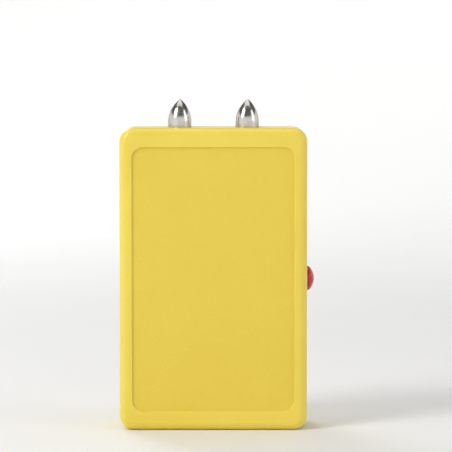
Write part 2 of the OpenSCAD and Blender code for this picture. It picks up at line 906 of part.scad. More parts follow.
module switch_screws() {
    color(steel)
        for (z = switch_hole_z)
            translate([switch_hole_x, 0, z])
                small_screw(-switch_t / 2, board_y + board_screw_l);
}

// Circuit board and what stands on it

module circuit_board() {
    color(board_green)
        difference() {
            box([-board_x, board_x], [board_y, board_back], [board_z, board_top]);
            for (p = concat(board_holes, [for (z = switch_hole_z) [switch_hole_x, z]]))
                y_rod(p.x, [board_y - past, board_back + past], p.y, board_screw_d / 2 + board_hole_play);
            for (z = terminal_z)
                y_rod(terminal_x, [board_y - past, board_back + past], z, pin_hole_r);
        }
}

module board_screws() {
    color(steel)
        for (p = board_holes)
            translate([p.x, 0, p.y])
                small_screw(board_y, board_y + board_screw_l);
}

module transformer_core() {
    window_x = core_w / 2 - core_side;
    color(black)
        translate([core_x, core_y, core_z])
            difference() {
                box([-core_w / 2, core_w / 2], [-core_t / 2, core_t / 2], [-core_h / 2, core_h / 2]);
                for (side = [-1, 1])
                    box([side > 0 ? core_leg / 2 : -window_x, side > 0 ? window_x : -core_leg / 2],
                        [-core_t, core_t], [-window_h / 2, window_h / 2]);
            }
}

module transformer_bobbin() {
    color(black)
        translate([core_x, core_y, core_z])
            difference() {
                union() {
                    cube([spool.x, spool.y, spool_h], center = true);
                    for (side = [-1, 1])
                        translate([0, 0, side * (spool_h - flange_t) / 2])
                            cube([bobbin_flange.x, bobbin_flange.y, flange_t], center = true);
                }
                cube([spool_hole.x, spool_hole.y, window_h], center = true);
            }
}

module transformer_winding() {
    color(copper)
        translate([core_x, core_y, core_z])
            difference() {
                translate([0, -winding.y / 2, -winding_h / 2])
                    linear_extrude(winding_h)
                        rounded_rect(winding.x, winding.y, winding_r);
                cube([winding_hole.x, winding_hole.y, core_h], center = true);
            }
}

module pulse_capacitor() {
    color(button_red)
        translate([film_cap_x + film_cap.x / 2, board_y, film_cap_z])
            rotate([90, 0, 0])
                linear_extrude(film_cap.y)
                    rounded_rect(film_cap.x, film_cap.z, film_cap_r);
}

// Can capacitor lying on the board, with the rolled groove near its leads
module supply_capacitor() {
    can_y = board_y - seat_gap - can_r;
    color(black) {
        difference() {
            x_rod([can_x, can_x + can_l], can_y, can_z, can_r);
            translate([can_x + can_l - can_groove_in, can_y, can_z])
                rotate([0, 90, 0])
                    rotate_extrude()
                        translate([can_r, 0])
                            circle(can_groove);
        }
        for (side = [-1, 1])
            translate([0, 0, can_z + side * can_r / 2]) {
                x_rod([can_x + can_l - root, can_x + can_l + can_lead], can_y, 0, axial_wire_r);
                y_rod(can_x + can_l + can_lead, [can_y, board_y], 0, axial_wire_r);
            }
    }
}

// Power transistor lying flat on the board
module power_transistor() {
    color(black)
        translate([transistor_x, board_y, transistor_z]) {
            difference() {
                box([0, tab_w], [-tab_t, 0], [leg_l, leg_l + tab_l]);
                y_rod(tab_w / 2, [-tab_t - past, past], leg_l + tab_l - 2 * tab_hole_r, tab_hole_r);
            }
            box([0, tab_w], [-tab_t - body_t, root - tab_t], [leg_l, leg_l + body_l]);
            for (i = [-1:1])
                translate([tab_w / 2 + i * leg_pitch, 0, 0])
                    box([-leg_t / 2, leg_t / 2], [-tab_t - leg_t, 0], [0, leg_l + root]);
        }
}

// A part with a wire at each end, bent down to the board
module axial_part(r, l) {
    part_y = board_y - r - seat_gap;
    x_rod([(axial_l - l) / 2, (axial_l + l) / 2], part_y, 0, r);
    x_rod([0, axial_l], part_y, 0, axial_wire_r);
    for (x = [0, axial_l])
        y_rod(x, [part_y, board_y], 0, axial_wire_r);
}

module resistors() {
    color("tan")
        for (z = resistor_z)
            translate([axial_x, 0, z])
                axial_part(resistor_r, resistor_l);
}

module rectifier_diodes() {
    color(black)
        for (z = diode_z)
            translate([axial_x, 0, z])
                axial_part(diode_r, diode_l);
}

// Leads

// From a pad near the board's upper edge into the solder cup of an electrode
module high_voltage_lead(side) {
    pad = [side * high_voltage_pad_x, board_y, board_top - high_voltage_pad_edge];
    cup = [side * electrode_x, 0, case_h + tail_z + cup_depth - seat_gap];
    points = lead(pad, [0, -lead_straight, 0], cup, [0, 0, cup_depth + lead_straight], lead_bend, lead_rings);
    color(button_red)
        tube(points, high_voltage_lead_d / 2, lead_sides);
}

module high_voltage_lead_left() {
    high_voltage_lead(-1);
}

module high_voltage_lead_right() {
    high_voltage_lead(1);
}

// From the solder tab of an end plate to a pad on the board's back
module battery_lead(side) {
    tab = [side * (abs(cell_x(0)) - solder_w / 2), tab_y, tray_out_top + battery_lead_d / 2 + seat_gap];
    pad = [side * battery_pad_x, board_back, board_z + battery_pad_edge];
    points = lead(tab, [-side * lead_straight, 0, 0], pad, [0, -lead_straight, 0], lead_bend, lead_rings);
    tube(points, battery_lead_d / 2, lead_sides);
}

module battery_lead_positive() {
    color(button_red)
        battery_lead(-1);
}

module battery_lead_negative() {
    color(black)
        battery_lead(1);
}

// Cells and contacts

function cell_x(i) = (i - (cell_count - 1) / 2) * cell_pitch;
function nub_up(i) = i % 2 == 0;
function cell_base(i) = nub_up(i)
    ? tray_top - plate_t - seat_gap - cell_l
    : tray_bottom + plate_t + seat_gap;

module cell(i) {
    can_h = cell_l - cell_nub_h;
    color(cell_grey)
        translate([cell_x(i), cell_y, cell_base(i) + (nub_up(i) ? 0 : cell_l)])
            rotate([nub_up(i) ? 0 : 180, 0, 0])
                rotate_extrude() {
                    square([cell_d / 2 - cell_edge, can_h]);
                    translate([0, cell_edge])
                        square([cell_d / 2, can_h - 2 * cell_edge]);
                    for (y = [cell_edge, can_h - cell_edge])
                        translate([cell_d / 2 - cell_edge, y])
                            circle(cell_edge);
                    square([cell_nub_d / 2, cell_l]);
                }
}

module cell_1() {
    cell(0);
}

module cell_2() {
    cell(1);
}

module cell_3() {
    cell(2);
}

module cell_4() {
    cell(3);
}

// A plate on the tray's end wall that spans from one cell to another
module contact_plate(from, to, z) {
    box([cell_x(from) - plate_w / 2, cell_x(to) + plate_w / 2], [cell_y - plate_w / 2, cell_y + plate_w / 2],
        [z, z + plate_t]);
}

module end_plate(i) {
    color(plated) {
        contact_plate(i, i, tray_top - plate_t);
        box([cell_x(i) - solder_w / 2, cell_x(i) + solder_w / 2], [tab_y - plate_t / 2, tab_y + plate_t / 2],
            [tray_top - plate_t, tray_out_top + solder_l - tray_wall]);
    }
}

module contact_plate_positive() {
    end_plate(0);
}

module contact_plate_negative() {
    end_plate(cell_count - 1);
}

module contact_link_top() {
    color(plated)
        contact_plate(1, 2, tray_top - plate_t);
}

module contact_links_bottom() {
    color(plated)
        for (i = [0, 2])
            contact_plate(i, i + 1, tray_bottom);
}

module contact_springs() {
    color(steel)
        for (i = [0:cell_count - 1])
            translate([cell_x(i), cell_y, nub_up(i) ? tray_bottom + plate_t : tray_top - plate_t])
                rotate([nub_up(i) ? 0 : 180, 0, 0])
                    translate([0, 0, seat_gap / 2 + contact_wire / 2])
                        tube(contact_coil, contact_wire / 2, wire_sides);
}

front_shell();
rear_shell();
battery_door();
case_screws();
electrode_left();
electrode_right();
push_button();
button_spring();
switch_body();
switch_plunger();
switch_lever();
switch_terminals();
switch_screws();
circuit_board();
board_screws();
transformer_core();
transformer_bobbin();
transformer_winding();
pulse_capacitor();
supply_capacitor();
power_transistor();
rectifier_diodes();
resistors();
high_voltage_lead_left();
high_voltage_lead_right();
battery_lead_positive();
battery_lead_negative();
cell_1();
cell_2();
cell_3();
cell_4();
contact_plate_positive();
contact_plate_negative();
contact_link_top();
contact_links_bottom();
contact_springs();
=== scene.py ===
"""Looks of a pocket stock prodder.

A yellow two-part case with plated electrodes, a side button and a battery door, and all that is inside it.
"""

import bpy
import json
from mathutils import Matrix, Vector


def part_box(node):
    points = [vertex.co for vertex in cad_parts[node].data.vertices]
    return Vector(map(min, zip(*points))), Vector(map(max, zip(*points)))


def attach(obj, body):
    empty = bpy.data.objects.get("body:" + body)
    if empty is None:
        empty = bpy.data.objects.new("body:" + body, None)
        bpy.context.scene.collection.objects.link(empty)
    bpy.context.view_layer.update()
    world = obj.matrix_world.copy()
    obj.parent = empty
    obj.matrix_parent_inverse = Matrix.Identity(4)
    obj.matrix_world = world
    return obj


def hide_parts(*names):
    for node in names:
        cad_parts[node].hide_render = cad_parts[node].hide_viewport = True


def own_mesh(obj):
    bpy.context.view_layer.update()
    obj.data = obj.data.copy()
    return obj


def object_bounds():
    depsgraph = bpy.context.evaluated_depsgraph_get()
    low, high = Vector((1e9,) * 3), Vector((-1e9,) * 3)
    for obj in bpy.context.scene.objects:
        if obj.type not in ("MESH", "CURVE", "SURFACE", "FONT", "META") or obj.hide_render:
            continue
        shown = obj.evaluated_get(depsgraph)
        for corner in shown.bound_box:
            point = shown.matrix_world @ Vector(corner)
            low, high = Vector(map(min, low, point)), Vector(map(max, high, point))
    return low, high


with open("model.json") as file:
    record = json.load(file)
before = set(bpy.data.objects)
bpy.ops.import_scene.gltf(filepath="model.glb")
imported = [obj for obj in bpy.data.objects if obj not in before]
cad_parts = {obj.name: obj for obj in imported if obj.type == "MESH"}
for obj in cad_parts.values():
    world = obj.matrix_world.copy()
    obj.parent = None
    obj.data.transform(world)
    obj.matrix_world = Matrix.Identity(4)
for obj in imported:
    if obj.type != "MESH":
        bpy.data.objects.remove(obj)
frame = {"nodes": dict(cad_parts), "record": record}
CAD_BOX = [list(corner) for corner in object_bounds()]

import json
import math
from contextlib import contextmanager

import bmesh
import bpy
from mathutils import Vector

# Lengths are in millimetres, as in the part's source, and become metres when a mesh is made.
# A width in X is half the full width, because the case is even about its middle.
MM = 0.001

# Case
CASE_X = 40.0
CASE_H = 129.0
CASE_DEPTH = 15.0
CORNER_R = 6.0
FRONT_EDGE_R = 3.5
REAR_EDGE_R = 1.6
PANEL_X = 34.3
PANEL_Z = (8.5, 120.5)
PANEL_R = 4.5
PANEL_DEPTH = 0.8
PANEL_LIP_R = 0.35
PANEL_FOOT_R = 0.25
SEAM_HALF = 0.25
SEAM_DEPTH = 0.5
SEAM_LIP_R = 0.15
SEAM_LIP_IN = 0.05
SEAM_PAST = 1.0
# How far the dressed outside lies under the solid's, so that the two never share a face
SKIN = 0.02
EDGE_SOFT = 0.35
FLARE_END = 252

# Holes of the case
BUTTON_Z = 64.0
BUTTON_HOLE_R = 5.5
SCREW_X = 34.35
SCREW_HEIGHTS = (14.0, 118.0)
SCREW_WELL_R = 2.9
DOORWAY_X = 29.75
DOORWAY_Z = (5.3, 59.3)
DOORWAY_R = 0.3

# Battery door
DOOR_X = 29.45
DOOR_TOP = 59.0
DOOR_CORNER_R = 0.6
DOOR_EDGE_START = 14.3
# Half width, foot, top and nearest depth of the space in which the door's inside stays whole
DOOR_ROOM = (35.0, 4.0, 65.0, 5.0)
LATCH_HALF = 6.0
LATCH_SLIT = 0.8
LATCH_LOW = 46.0
SLIT_SOFT = 0.15

# Push button, along X
STEM_R = 2.5
STEM_END = 31.4
STEM_TIP = 0.8
FLANGE_R = 6.6
FLANGE = (36.3, 37.5)
BUTTON_R = 5.2
CROWN = 43.2
DOME_EDGE = 41.0
BUTTON_SOFT = 0.45

# Electrodes, with heights counted from the top of the case
ELECTRODE_X = 14.45
TIP_R = 5.0
TIP_STRAIGHT = 2.0
TIP_H = 12.0
NOSE_R = 1.0
SHANK_R = 3.0
COLLAR_R = 4.5
COLLAR = (-4.3, -2.3)
TAIL_R = 2.2
TAIL_END = -11.3
CUP_R = 1.15
CUP_DEPTH = 4.0
TURNED_SOFT = 0.2

# Screws, along Y; face says which way the head looks
CASE_SCREW = {"face": 1, "r": 1.45, "tip": -7.0, "seat": 11.0, "head_r": 2.6, "head_h": 1.9}
BOARD_SCREW = {"face": -1, "r": 1.0, "tip": -10.2, "seat": -3.2, "head_r": 2.1, "head_h": 1.4}
SWITCH_SCREW = {"face": -1, "r": 1.0, "tip": -10.2, "seat": 3.2, "head_r": 2.1, "head_h": 1.4}
BOARD_SCREW_SPOTS = ((-26.5, 65.2), (-26.5, 104.2), (26.5, 104.2))
SWITCH_SCREW_SPOTS = ((21.1, 67.95), (21.1, 77.45))
SCREW_TURNS = (12, 57, 31, 78)
# Shares of a screw's radius
THREAD_ROOT = 0.76
THREAD_PITCH = 0.76
# Shares of a head's radius; the cross is given as arm's length, arm's half width and height above the head
HEAD_SIDE = 0.27
CROSS = ((0.67, 0.18, 0.12), (0.58, 0.16, -0.12), (0.27, 0.1, -0.46))

# Cells
CELL_X = (-22.2, -7.4, 7.4, 22.2)
CELL_Y = 3.45
CELL_R = 7.25
CELL_L = 50.5
CELL_FEET = (8.2, 4.6, 8.2, 4.6)
NUB_R = 2.75
NUB_H = 1.2
NUB_FOOT = (0.5, 0.15)
FILM_R = 6.75
FILM_LIP = 0.4
BAND = (35.0, 36.0, 36.8)
DISH_R = (3.2, 3.5)
DISH_H = 0.25
BASE_R = (5.9, 6.2)
BASE_EDGE = 0.2
CAP_R = (4.4, 4.1)
CAP_SINK = 0.05
WASHER_SINK = 0.3
# Corners of a cell's outline that are rounded, and how far
CELL_SOFT = {7: 0.35, 11: 0.5, 18: 0.35}

# Springs
CONTACT_COIL = {"foot": 4.6, "head": 2.6, "height": 2.9, "turns": 2.5, "wire": 0.35}
PLATE_FACES = (4.5, 58.8)
PLATE_GAP = 0.4
BUTTON_COIL = {"foot": 4.2, "head": 4.2, "height": 2.2, "turns": 2.0, "wire": 0.2}
BUTTON_COIL_START = 33.8

# Ends of the leads, and how far they run straight there
HIGH_VOLTAGE_PAD = (10.5, 3.2, 105.5)
HIGH_VOLTAGE_CUP = (14.45, 0.0, 121.6)
BATTERY_TAB = (20.7, 7.85, 61.8)
BATTERY_PAD = (13.0, 4.8, 70.7)
LEAD_OUT = 1.5
LEAD_IN = 5.5
LEAD_BEND = 4.0
HIGH_VOLTAGE_LEAD_R = 1.0
BATTERY_LEAD_R = 0.8

# Parts on the board
BOARD_BACK = 4.8
AXIAL_X = -23.25
RESISTOR_HALF = 3.25
DIODE_HALF = 2.35
TRANSISTOR_TAB_Y = 1.95
TRANSISTOR_Z = (67.25, 76.25)
CAN_ENDS = (-26.97, -10.97)
WINDING_WIRE_R = 0.33
FORMER_SQUARE = 6.0
SOLDER_DOME = (
    (0, -0.1), (1.05, -0.1), (1.0, 0.06), (0.66, 0.3), (0.42, 0.68), (0.34, 0.8), (0.34, 1.1), (0.24, 1.2),
    (0, 1.2))
# Rows of legs, as places across and places up
SOLDER_GRIDS = (
    ((-28.5, -18.0), (84.2, 88.2, 92.2, 96.2, 99.7)),
    ((-5.54, -3.0, -0.46), (64.9,)),
    ((-9.5,), (70.7, 75.7)),
    ((12.0, 27.0), (97.3,)),
    ((-9.6, -5.6, -2.4, 1.6), (84.0, 98.4)),
    ((15.2,), (65.1, 72.7, 79.7)),
)

# How far the edges of each inner piece are eased, and from which bend on an edge counts
EASED = {
    "switch_body": 0.25, "switch_plunger": 0.2, "switch_lever": 0.06, "switch_terminals": 0.08,
    "circuit_board": 0.1, "transformer_core": 0.35, "transformer_bobbin": 0.15, "pulse_capacitor": 0.7,
    "supply_capacitor": 0.12, "power_transistor": 0.15, "rectifier_diodes": 0.12, "resistors": 0.12,
    "contact_plate_positive": 0.08, "contact_plate_negative": 0.08, "contact_link_top": 0.1,
    "contact_links_bottom": 0.1,
}
EASE_ANGLE = 40
EASE_STEPS = 2

# Fineness of the round forms, and the limits that mend and shade a mesh
CORNER_STEPS = 12
EDGE_STEPS = 10
LIP_STEPS = 3
SPIN_STEPS = 96
HOLE_STEPS = 64
WIRE_SIDES = 12
COIL_STEPS = 40
CAD_WELD = 0.001
WELD = 0.002
SLIVER = 0.0005
FLAT_ANGLE = 0.2
SMOOTH_ANGLE = 28

# Finishes: colours are linear red, green and blue, and grain is given by its width and its height.
# Kinds of noise, as number of layers and their strength, and the levels that most of a noise lies between
CALM = (2.0, 0.5)
CLOUDY = (3.0, 0.5)
GRAINY = (3.0, 0.6)
STREAKY = (4.0, 0.6)
HAIRY = (5.0, 0.7)
NOISE_LEVELS = (0.3, 0.7)
NONE_TO_ALL = (0.0, 1.0)
ALL_TO_NONE = (1.0, 0.0)

# Case plastic: widths and heights of the grain, widths of the slow changes in tone and in polish; the panel's
# grain holds painted shade in its pits, and the lighter edge tone is partly a painted highlight
YELLOW_DEEP = (0.815, 0.625, 0.072)
YELLOW_PALE = (0.85, 0.665, 0.09)
# The darker panel tone below is painted shade in the pits of the panel's grain
YELLOW_PANEL_SHADE = (0.77, 0.565, 0.055)
# The lighter edge tone below is partly handling polish and partly a painted highlight
YELLOW_POLISH_HIGHLIGHT = (0.9, 0.73, 0.18)
PANEL_GRAIN = 0.42
PANEL_GRAIN_H = 0.11
PANEL_PITS = (0.35, 0.65)
# How much painted shade the panel takes, spread over the pits' levels
PANEL_PIT_SHADE = (0.9, 0.4)
CASE_GRAIN = 0.26
CASE_GRAIN_H = 0.014
CASE_CLOUD = 24.0
CASE_POLISH_AND_HIGHLIGHT = 14.0
CASE_SHEEN = 0.45
CASE_CLOUD_ROUGH = 0.02
# First on the sides, then on the panel
CASE_ROUGH = (0.31, 0.47)
PIT_SHARE = (0.1, 1.0)
# Bend of an edge at which the polish begins and is full, how even it is, and what it does to tone and gloss;
# its lighter tone is partly handling wear and partly a painted highlight on the rounded edges
POLISH_AND_HIGHLIGHT_BEND = (0.04, 0.26)
POLISH_AND_HIGHLIGHT_SPREAD = (0.4, 1.0)
POLISH_HIGHLIGHT_TONE = 0.22
POLISH_GLOSS = 0.05

# Plain mouldings: how far their roughness swings
MOULDED_ROUGH = (-0.06, 0.08)

# Button plastic, with hairlines that run across it
RED_DEEP = (0.46, 0.014, 0.01)
RED_BRIGHT = (0.55, 0.024, 0.015)
RED_RUBBED = (0.7, 0.2, 0.16)
BUTTON_SHEEN = 0.5
BUTTON_CLOUD = 5.0
BUTTON_ROUGH = (0.24, 0.34)
BUTTON_GRAIN = 0.25
BUTTON_GRAIN_H = 0.006
HAIR = 0.5
HAIR_H = 0.001
HAIR_STRETCH = (1.0, 0.1, 1.0)
HAIR_TURN = (0.6, 0.0, 0.0)
HAIR_LEVELS = (0.62, 0.72)
HAIR_TONE = 0.07
HAIR_ROUGH = 0.08

# Electrodes' plating, with tool rings and a tarnished foot
NICKEL_DARK = (0.57, 0.55, 0.51)
NICKEL_BRIGHT = (0.65, 0.63, 0.595)
NICKEL_GRAZED = (0.55, 0.55, 0.54, 1)
NICKEL_SMEAR = 2.6
NICKEL_ROUGH = (0.14, 0.26)
NICKEL_RIPPLE = 0.8
NICKEL_RIPPLE_H = 0.002
TARNISH = (0.45, 0.4, 0.32)
TARNISH_LEVELS = (0.35, 0.7)
TARNISH_H = 5.0
TARNISH_TONE = 0.5
TARNISH_ROUGH = 0.15
TOOL_RING = 0.22
TOOL_RING_H = 0.004
TOOL_RING_ROUGH = (-0.03, 0.05)

# Other metals: width of the slow changes, and how far the roughness swings by them and by the streaks
METAL_CLOUD = 3.0
METAL_CLOUD_ROUGH = 0.08
METAL_STREAK_ROUGH = 0.05

# Board print; the edges of tracks and pads are shares of their pitch
MASK = (0.012, 0.105, 0.038)
MASK_ON_TRACK = (0.028, 0.2, 0.075)
MASK_CLOUD = 4.0
MASK_ROUGH = (0.28, 0.42)
MASK_GRAIN = 0.5
MASK_GRAIN_H = 0.006
PAD_TIN = (0.62, 0.6, 0.56)
TRACK_PATCH = 8.5
TRACK_PITCH = 1.9
TRACK_EDGE = (0.27, 0.31)
PAD_PITCH = 2.54
PAD_EDGE = (0.28, 0.32)
PAD_LEVEL = 0.58
COPPER_H = 0.035

# Film of the cells, rubbed along the cell
FILM_COAT = 0.35
FILM_COAT_ROUGH = 0.12
FILM_SMUDGE = 7.0
FILM_SHADE = 0.86
FILM_ROUGH = (0.2, 0.3)
FILM_RUB = 0.7
FILM_RUB_H = 0.0012
FILM_RUB_STRETCH = (1.0, 1.0, 0.06)
FILM_RUB_LEVELS = (0.5, 0.75)
FILM_RUB_ROUGH = (0.0, 0.06)

# Diodes and resistors
COMPONENT_CLOUD = 1.5
DIODE_BLACK = (0.018, 0.018, 0.02)
DIODE_PALE = (0.55, 0.55, 0.53)
DIODE_RING_X = -21.7
DIODE_RING = (0.35, 0.41)
DIODE_ROUGH = (0.28, 0.42)
DIODE_GRAIN = 0.3
DIODE_GRAIN_H = 0.008
LACQUER = (0.52, 0.38, 0.2)
LACQUER_RING = (0.14, 0.05, 0.03)
LACQUER_WAVE = 4.4
LACQUER_LEVELS = (0.8, 0.88)
LACQUER_ROUGH = (0.32, 0.5)
LACQUER_GRAIN = 0.4
LACQUER_GRAIN_H = 0.01

# Studio floor, a bowl
FLOOR_DARK = (0.84, 0.84, 0.835)
FLOOR_PALE = (0.86, 0.86, 0.855)
FLOOR_CLOUD = 180.0
FLOOR_DULL = 40.0
FLOOR_ROUGH = (0.7, 0.8)
FLOOR_GRAIN = 3.0
FLOOR_GRAIN_H = 0.02
FLOOR_MIDDLE_R = 300.0
FLOOR_R = 1700.0
FLOOR_BEND_R = 700.0
WALL_H = 1000.0

# Studio light, in metres and watts: the distances between which the floor begins to glow and its glow there,
# the air, and each light's name, place, size, power and warmth, where 1 is white
TENT_GLOW = (0.5, 2.2, 0.0, 0.34)
AIR = (0.95, 0.97, 1.0, 1)
AIR_GLOW = 0.12
LIGHT_AIM = (0, 0, 0.07)
LIGHTS = (
    ("top_light", (0.0, 0.15, 2.2), (2.4, 2.2), 19.0, 1.0),
    ("key_light", (-1.3, -1.05, 1.25), (0.7, 0.9), 20.0, 0.97),
    ("fill_light", (1.5, -0.7, 0.8), (0.6, 1.1), 4.5, 0.96),
    ("back_light", (-0.7, 1.45, 1.1), (0.8, 0.9), 9.0, 1.0),
)

# Camera: the picture's size, and the case's width and the part's middle in it, in pixels
FRAME_PX = 452
CASE_PX = 186
MIDDLE_PX = (213.5, 263.0)
SENSOR = 36.0
CAMERA_AWAY = 1.05
CAMERA_TILT = 4.0


# Meshes

def put(name, data):
    """An object for some data, at the origin."""
    thing = bpy.data.objects.new(name, data)
    bpy.context.scene.collection.objects.link(thing)
    return thing


def new_piece(name, verts, faces):
    """A mesh from points in millimetres."""
    mesh = bpy.data.meshes.new(name)
    mesh.from_pydata([Vector(v) * MM for v in verts], [], faces)
    return put(name, mesh)


@contextmanager
def opened(mesh):
    """A mesh opened for a change and written back."""
    bm = bmesh.new()
    bm.from_mesh(mesh)
    yield bm
    bm.to_mesh(mesh)
    bm.free()


def face_outwards(piece):
    with opened(piece.data) as bm:
        bmesh.ops.recalc_face_normals(bm, faces=bm.faces)
    return piece


def made_mesh(thing):
    """The plain mesh that an object and its modifiers make."""
    view = bpy.context.evaluated_depsgraph_get()
    view.update()
    return bpy.data.meshes.new_from_object(thing.evaluated_get(view))


def settle(piece):
    """Turns a piece and its modifiers into one plain mesh."""
    old = piece.data
    piece.data = made_mesh(piece)
    piece.data.name = piece.name
    piece.modifiers.clear()
    bpy.data.meshes.remove(old)
    return piece


def carve(piece, tool, operation="DIFFERENCE"):
    """Cuts a piece by a tool, or keeps only what the tool holds, and takes the tool away."""
    step = piece.modifiers.new(operation, "BOOLEAN")
    step.operation = operation
    step.solver = "EXACT"
    step.object = tool
    settle(piece)
    bpy.data.objects.remove(tool)
    return piece


def weld(piece):
    """Closes up points that lie closer than any real edge is long."""
    with opened(piece.data) as bm:
        bmesh.ops.remove_doubles(bm, verts=bm.verts, dist=WELD * MM)
        bmesh.ops.dissolve_degenerate(bm, edges=bm.edges, dist=SLIVER * MM)


def smooth(piece):
    """Smooth shading with crisp edges, even across the flat faces."""
    weld(piece)
    piece.data.shade_smooth()
    piece.data.set_sharp_from_angle(angle=math.radians(SMOOTH_ANGLE))
    even = piece.modifiers.new("even", "WEIGHTED_NORMAL")
    even.keep_sharp = True
    return settle(piece)


def node_copy(node, name):
    """A copy of a CAD node's mesh, welded and with its flat faces whole."""
    mesh = frame["nodes"][node].data.copy()
    mesh.name = name
    normals = mesh.attributes.get("custom_normal")
    if normals:
        mesh.attributes.remove(normals)
    with opened(mesh) as bm:
        bmesh.ops.remove_doubles(bm, verts=bm.verts, dist=CAD_WELD * MM)
        bmesh.ops.dissolve_limit(bm, angle_limit=math.radians(FLAT_ANGLE), verts=bm.verts, edges=bm.edges)
    mesh.materials.clear()
    return put(name, mesh)


def arc(centre, r, start, end, steps):
    """Points of an arc in a profile, with its angles in degrees."""
    points = []
    for i in range(steps + 1):
        a = math.radians(start + (end - start) * i / steps)
        points.append((centre[0] + r * math.cos(a), centre[1] + r * math.sin(a)))
    return points


def soft_corner(before, corner, after, cut):
    """A corner of a profile, rounded from cut before it to cut after it."""
    corner = Vector(corner)
    start = corner + (Vector(before) - corner).normalized() * cut
    end = corner + (Vector(after) - corner).normalized() * cut
    points = []
    for i in range(LIP_STEPS + 1):
        t = i / LIP_STEPS
        points.append(tuple((1 - t) ** 2 * start + 2 * t * (1 - t) * corner + t ** 2 * end))
    return points


def softened(profile, cuts):
    """A profile with some of its corners rounded; cuts gives a corner's number and how far it is cut back."""
    out = []
    for i, point in enumerate(profile):
        if i in cuts:
            out += soft_corner(profile[i - 1], point, profile[i + 1], cuts[i])
        else:
            out.append(point)
    return out


def both_ways(half, grow=0.0):
    return -half - grow, half + grow


def rect_ring(x, z, r, y):
    """A rounded rectangle in the plane of the seam, moved to depth y."""
    middles = ((x[1] - r, z[1] - r), (x[0] + r, z[1] - r), (x[0] + r, z[0] + r), (x[1] - r, z[0] + r))
    ring = []
    for quarter, middle in enumerate(middles):
        for px, pz in arc(middle, r, 90 * quarter, 90 * quarter + 90, CORNER_STEPS):
            ring.append((px, y, pz))
    return ring


def loft(name, rings):
    """A closed solid through rings of equal count, with a flat face at each end."""
    count = len(rings[0])
    last = (len(rings) - 1) * count
    faces = []
    for low in range(0, last, count):
        high = low + count
        for k in range(count):
            n = (k + 1) % count
            faces.append((low + k, low + n, high + n, high + k))
    faces.append(list(range(count)))
    faces.append(list(range(last, last + count)))
    return face_outwards(new_piece(name, [p for ring in rings for p in ring], faces))


def along_x(a, b, h):
    return (h, a, b)


def along_y(a, b, h):
    return (a, h, b)


def along_z(a, b, h):
    return (a, b, h)


def turned(name, profile, along, centre, steps=SPIN_STEPS):
    """A closed solid turned from (radius, height) points round an axis through centre."""
    centre = Vector(centre)
    verts = []
    rings = []
    for r, h in profile:
        if r == 0:
            rings.append([len(verts)])
            verts.append(centre + Vector(along(0, 0, h)))
            continue
        rings.append(list(range(len(verts), len(verts) + steps)))
        for k in range(steps):
            a = math.tau * k / steps
            verts.append(centre + Vector(along(r * math.cos(a), r * math.sin(a), h)))
    faces = []
    for low, high in zip(rings, rings[1:]):
        for k in range(steps):
            n = (k + 1) % steps
            corners = [low[k % len(low)], low[n % len(low)], high[n % len(high)], high[k % len(high)]]
            faces.append(list(dict.fromkeys(corners)))
    return face_outwards(new_piece(name, verts, faces))


# Finishes

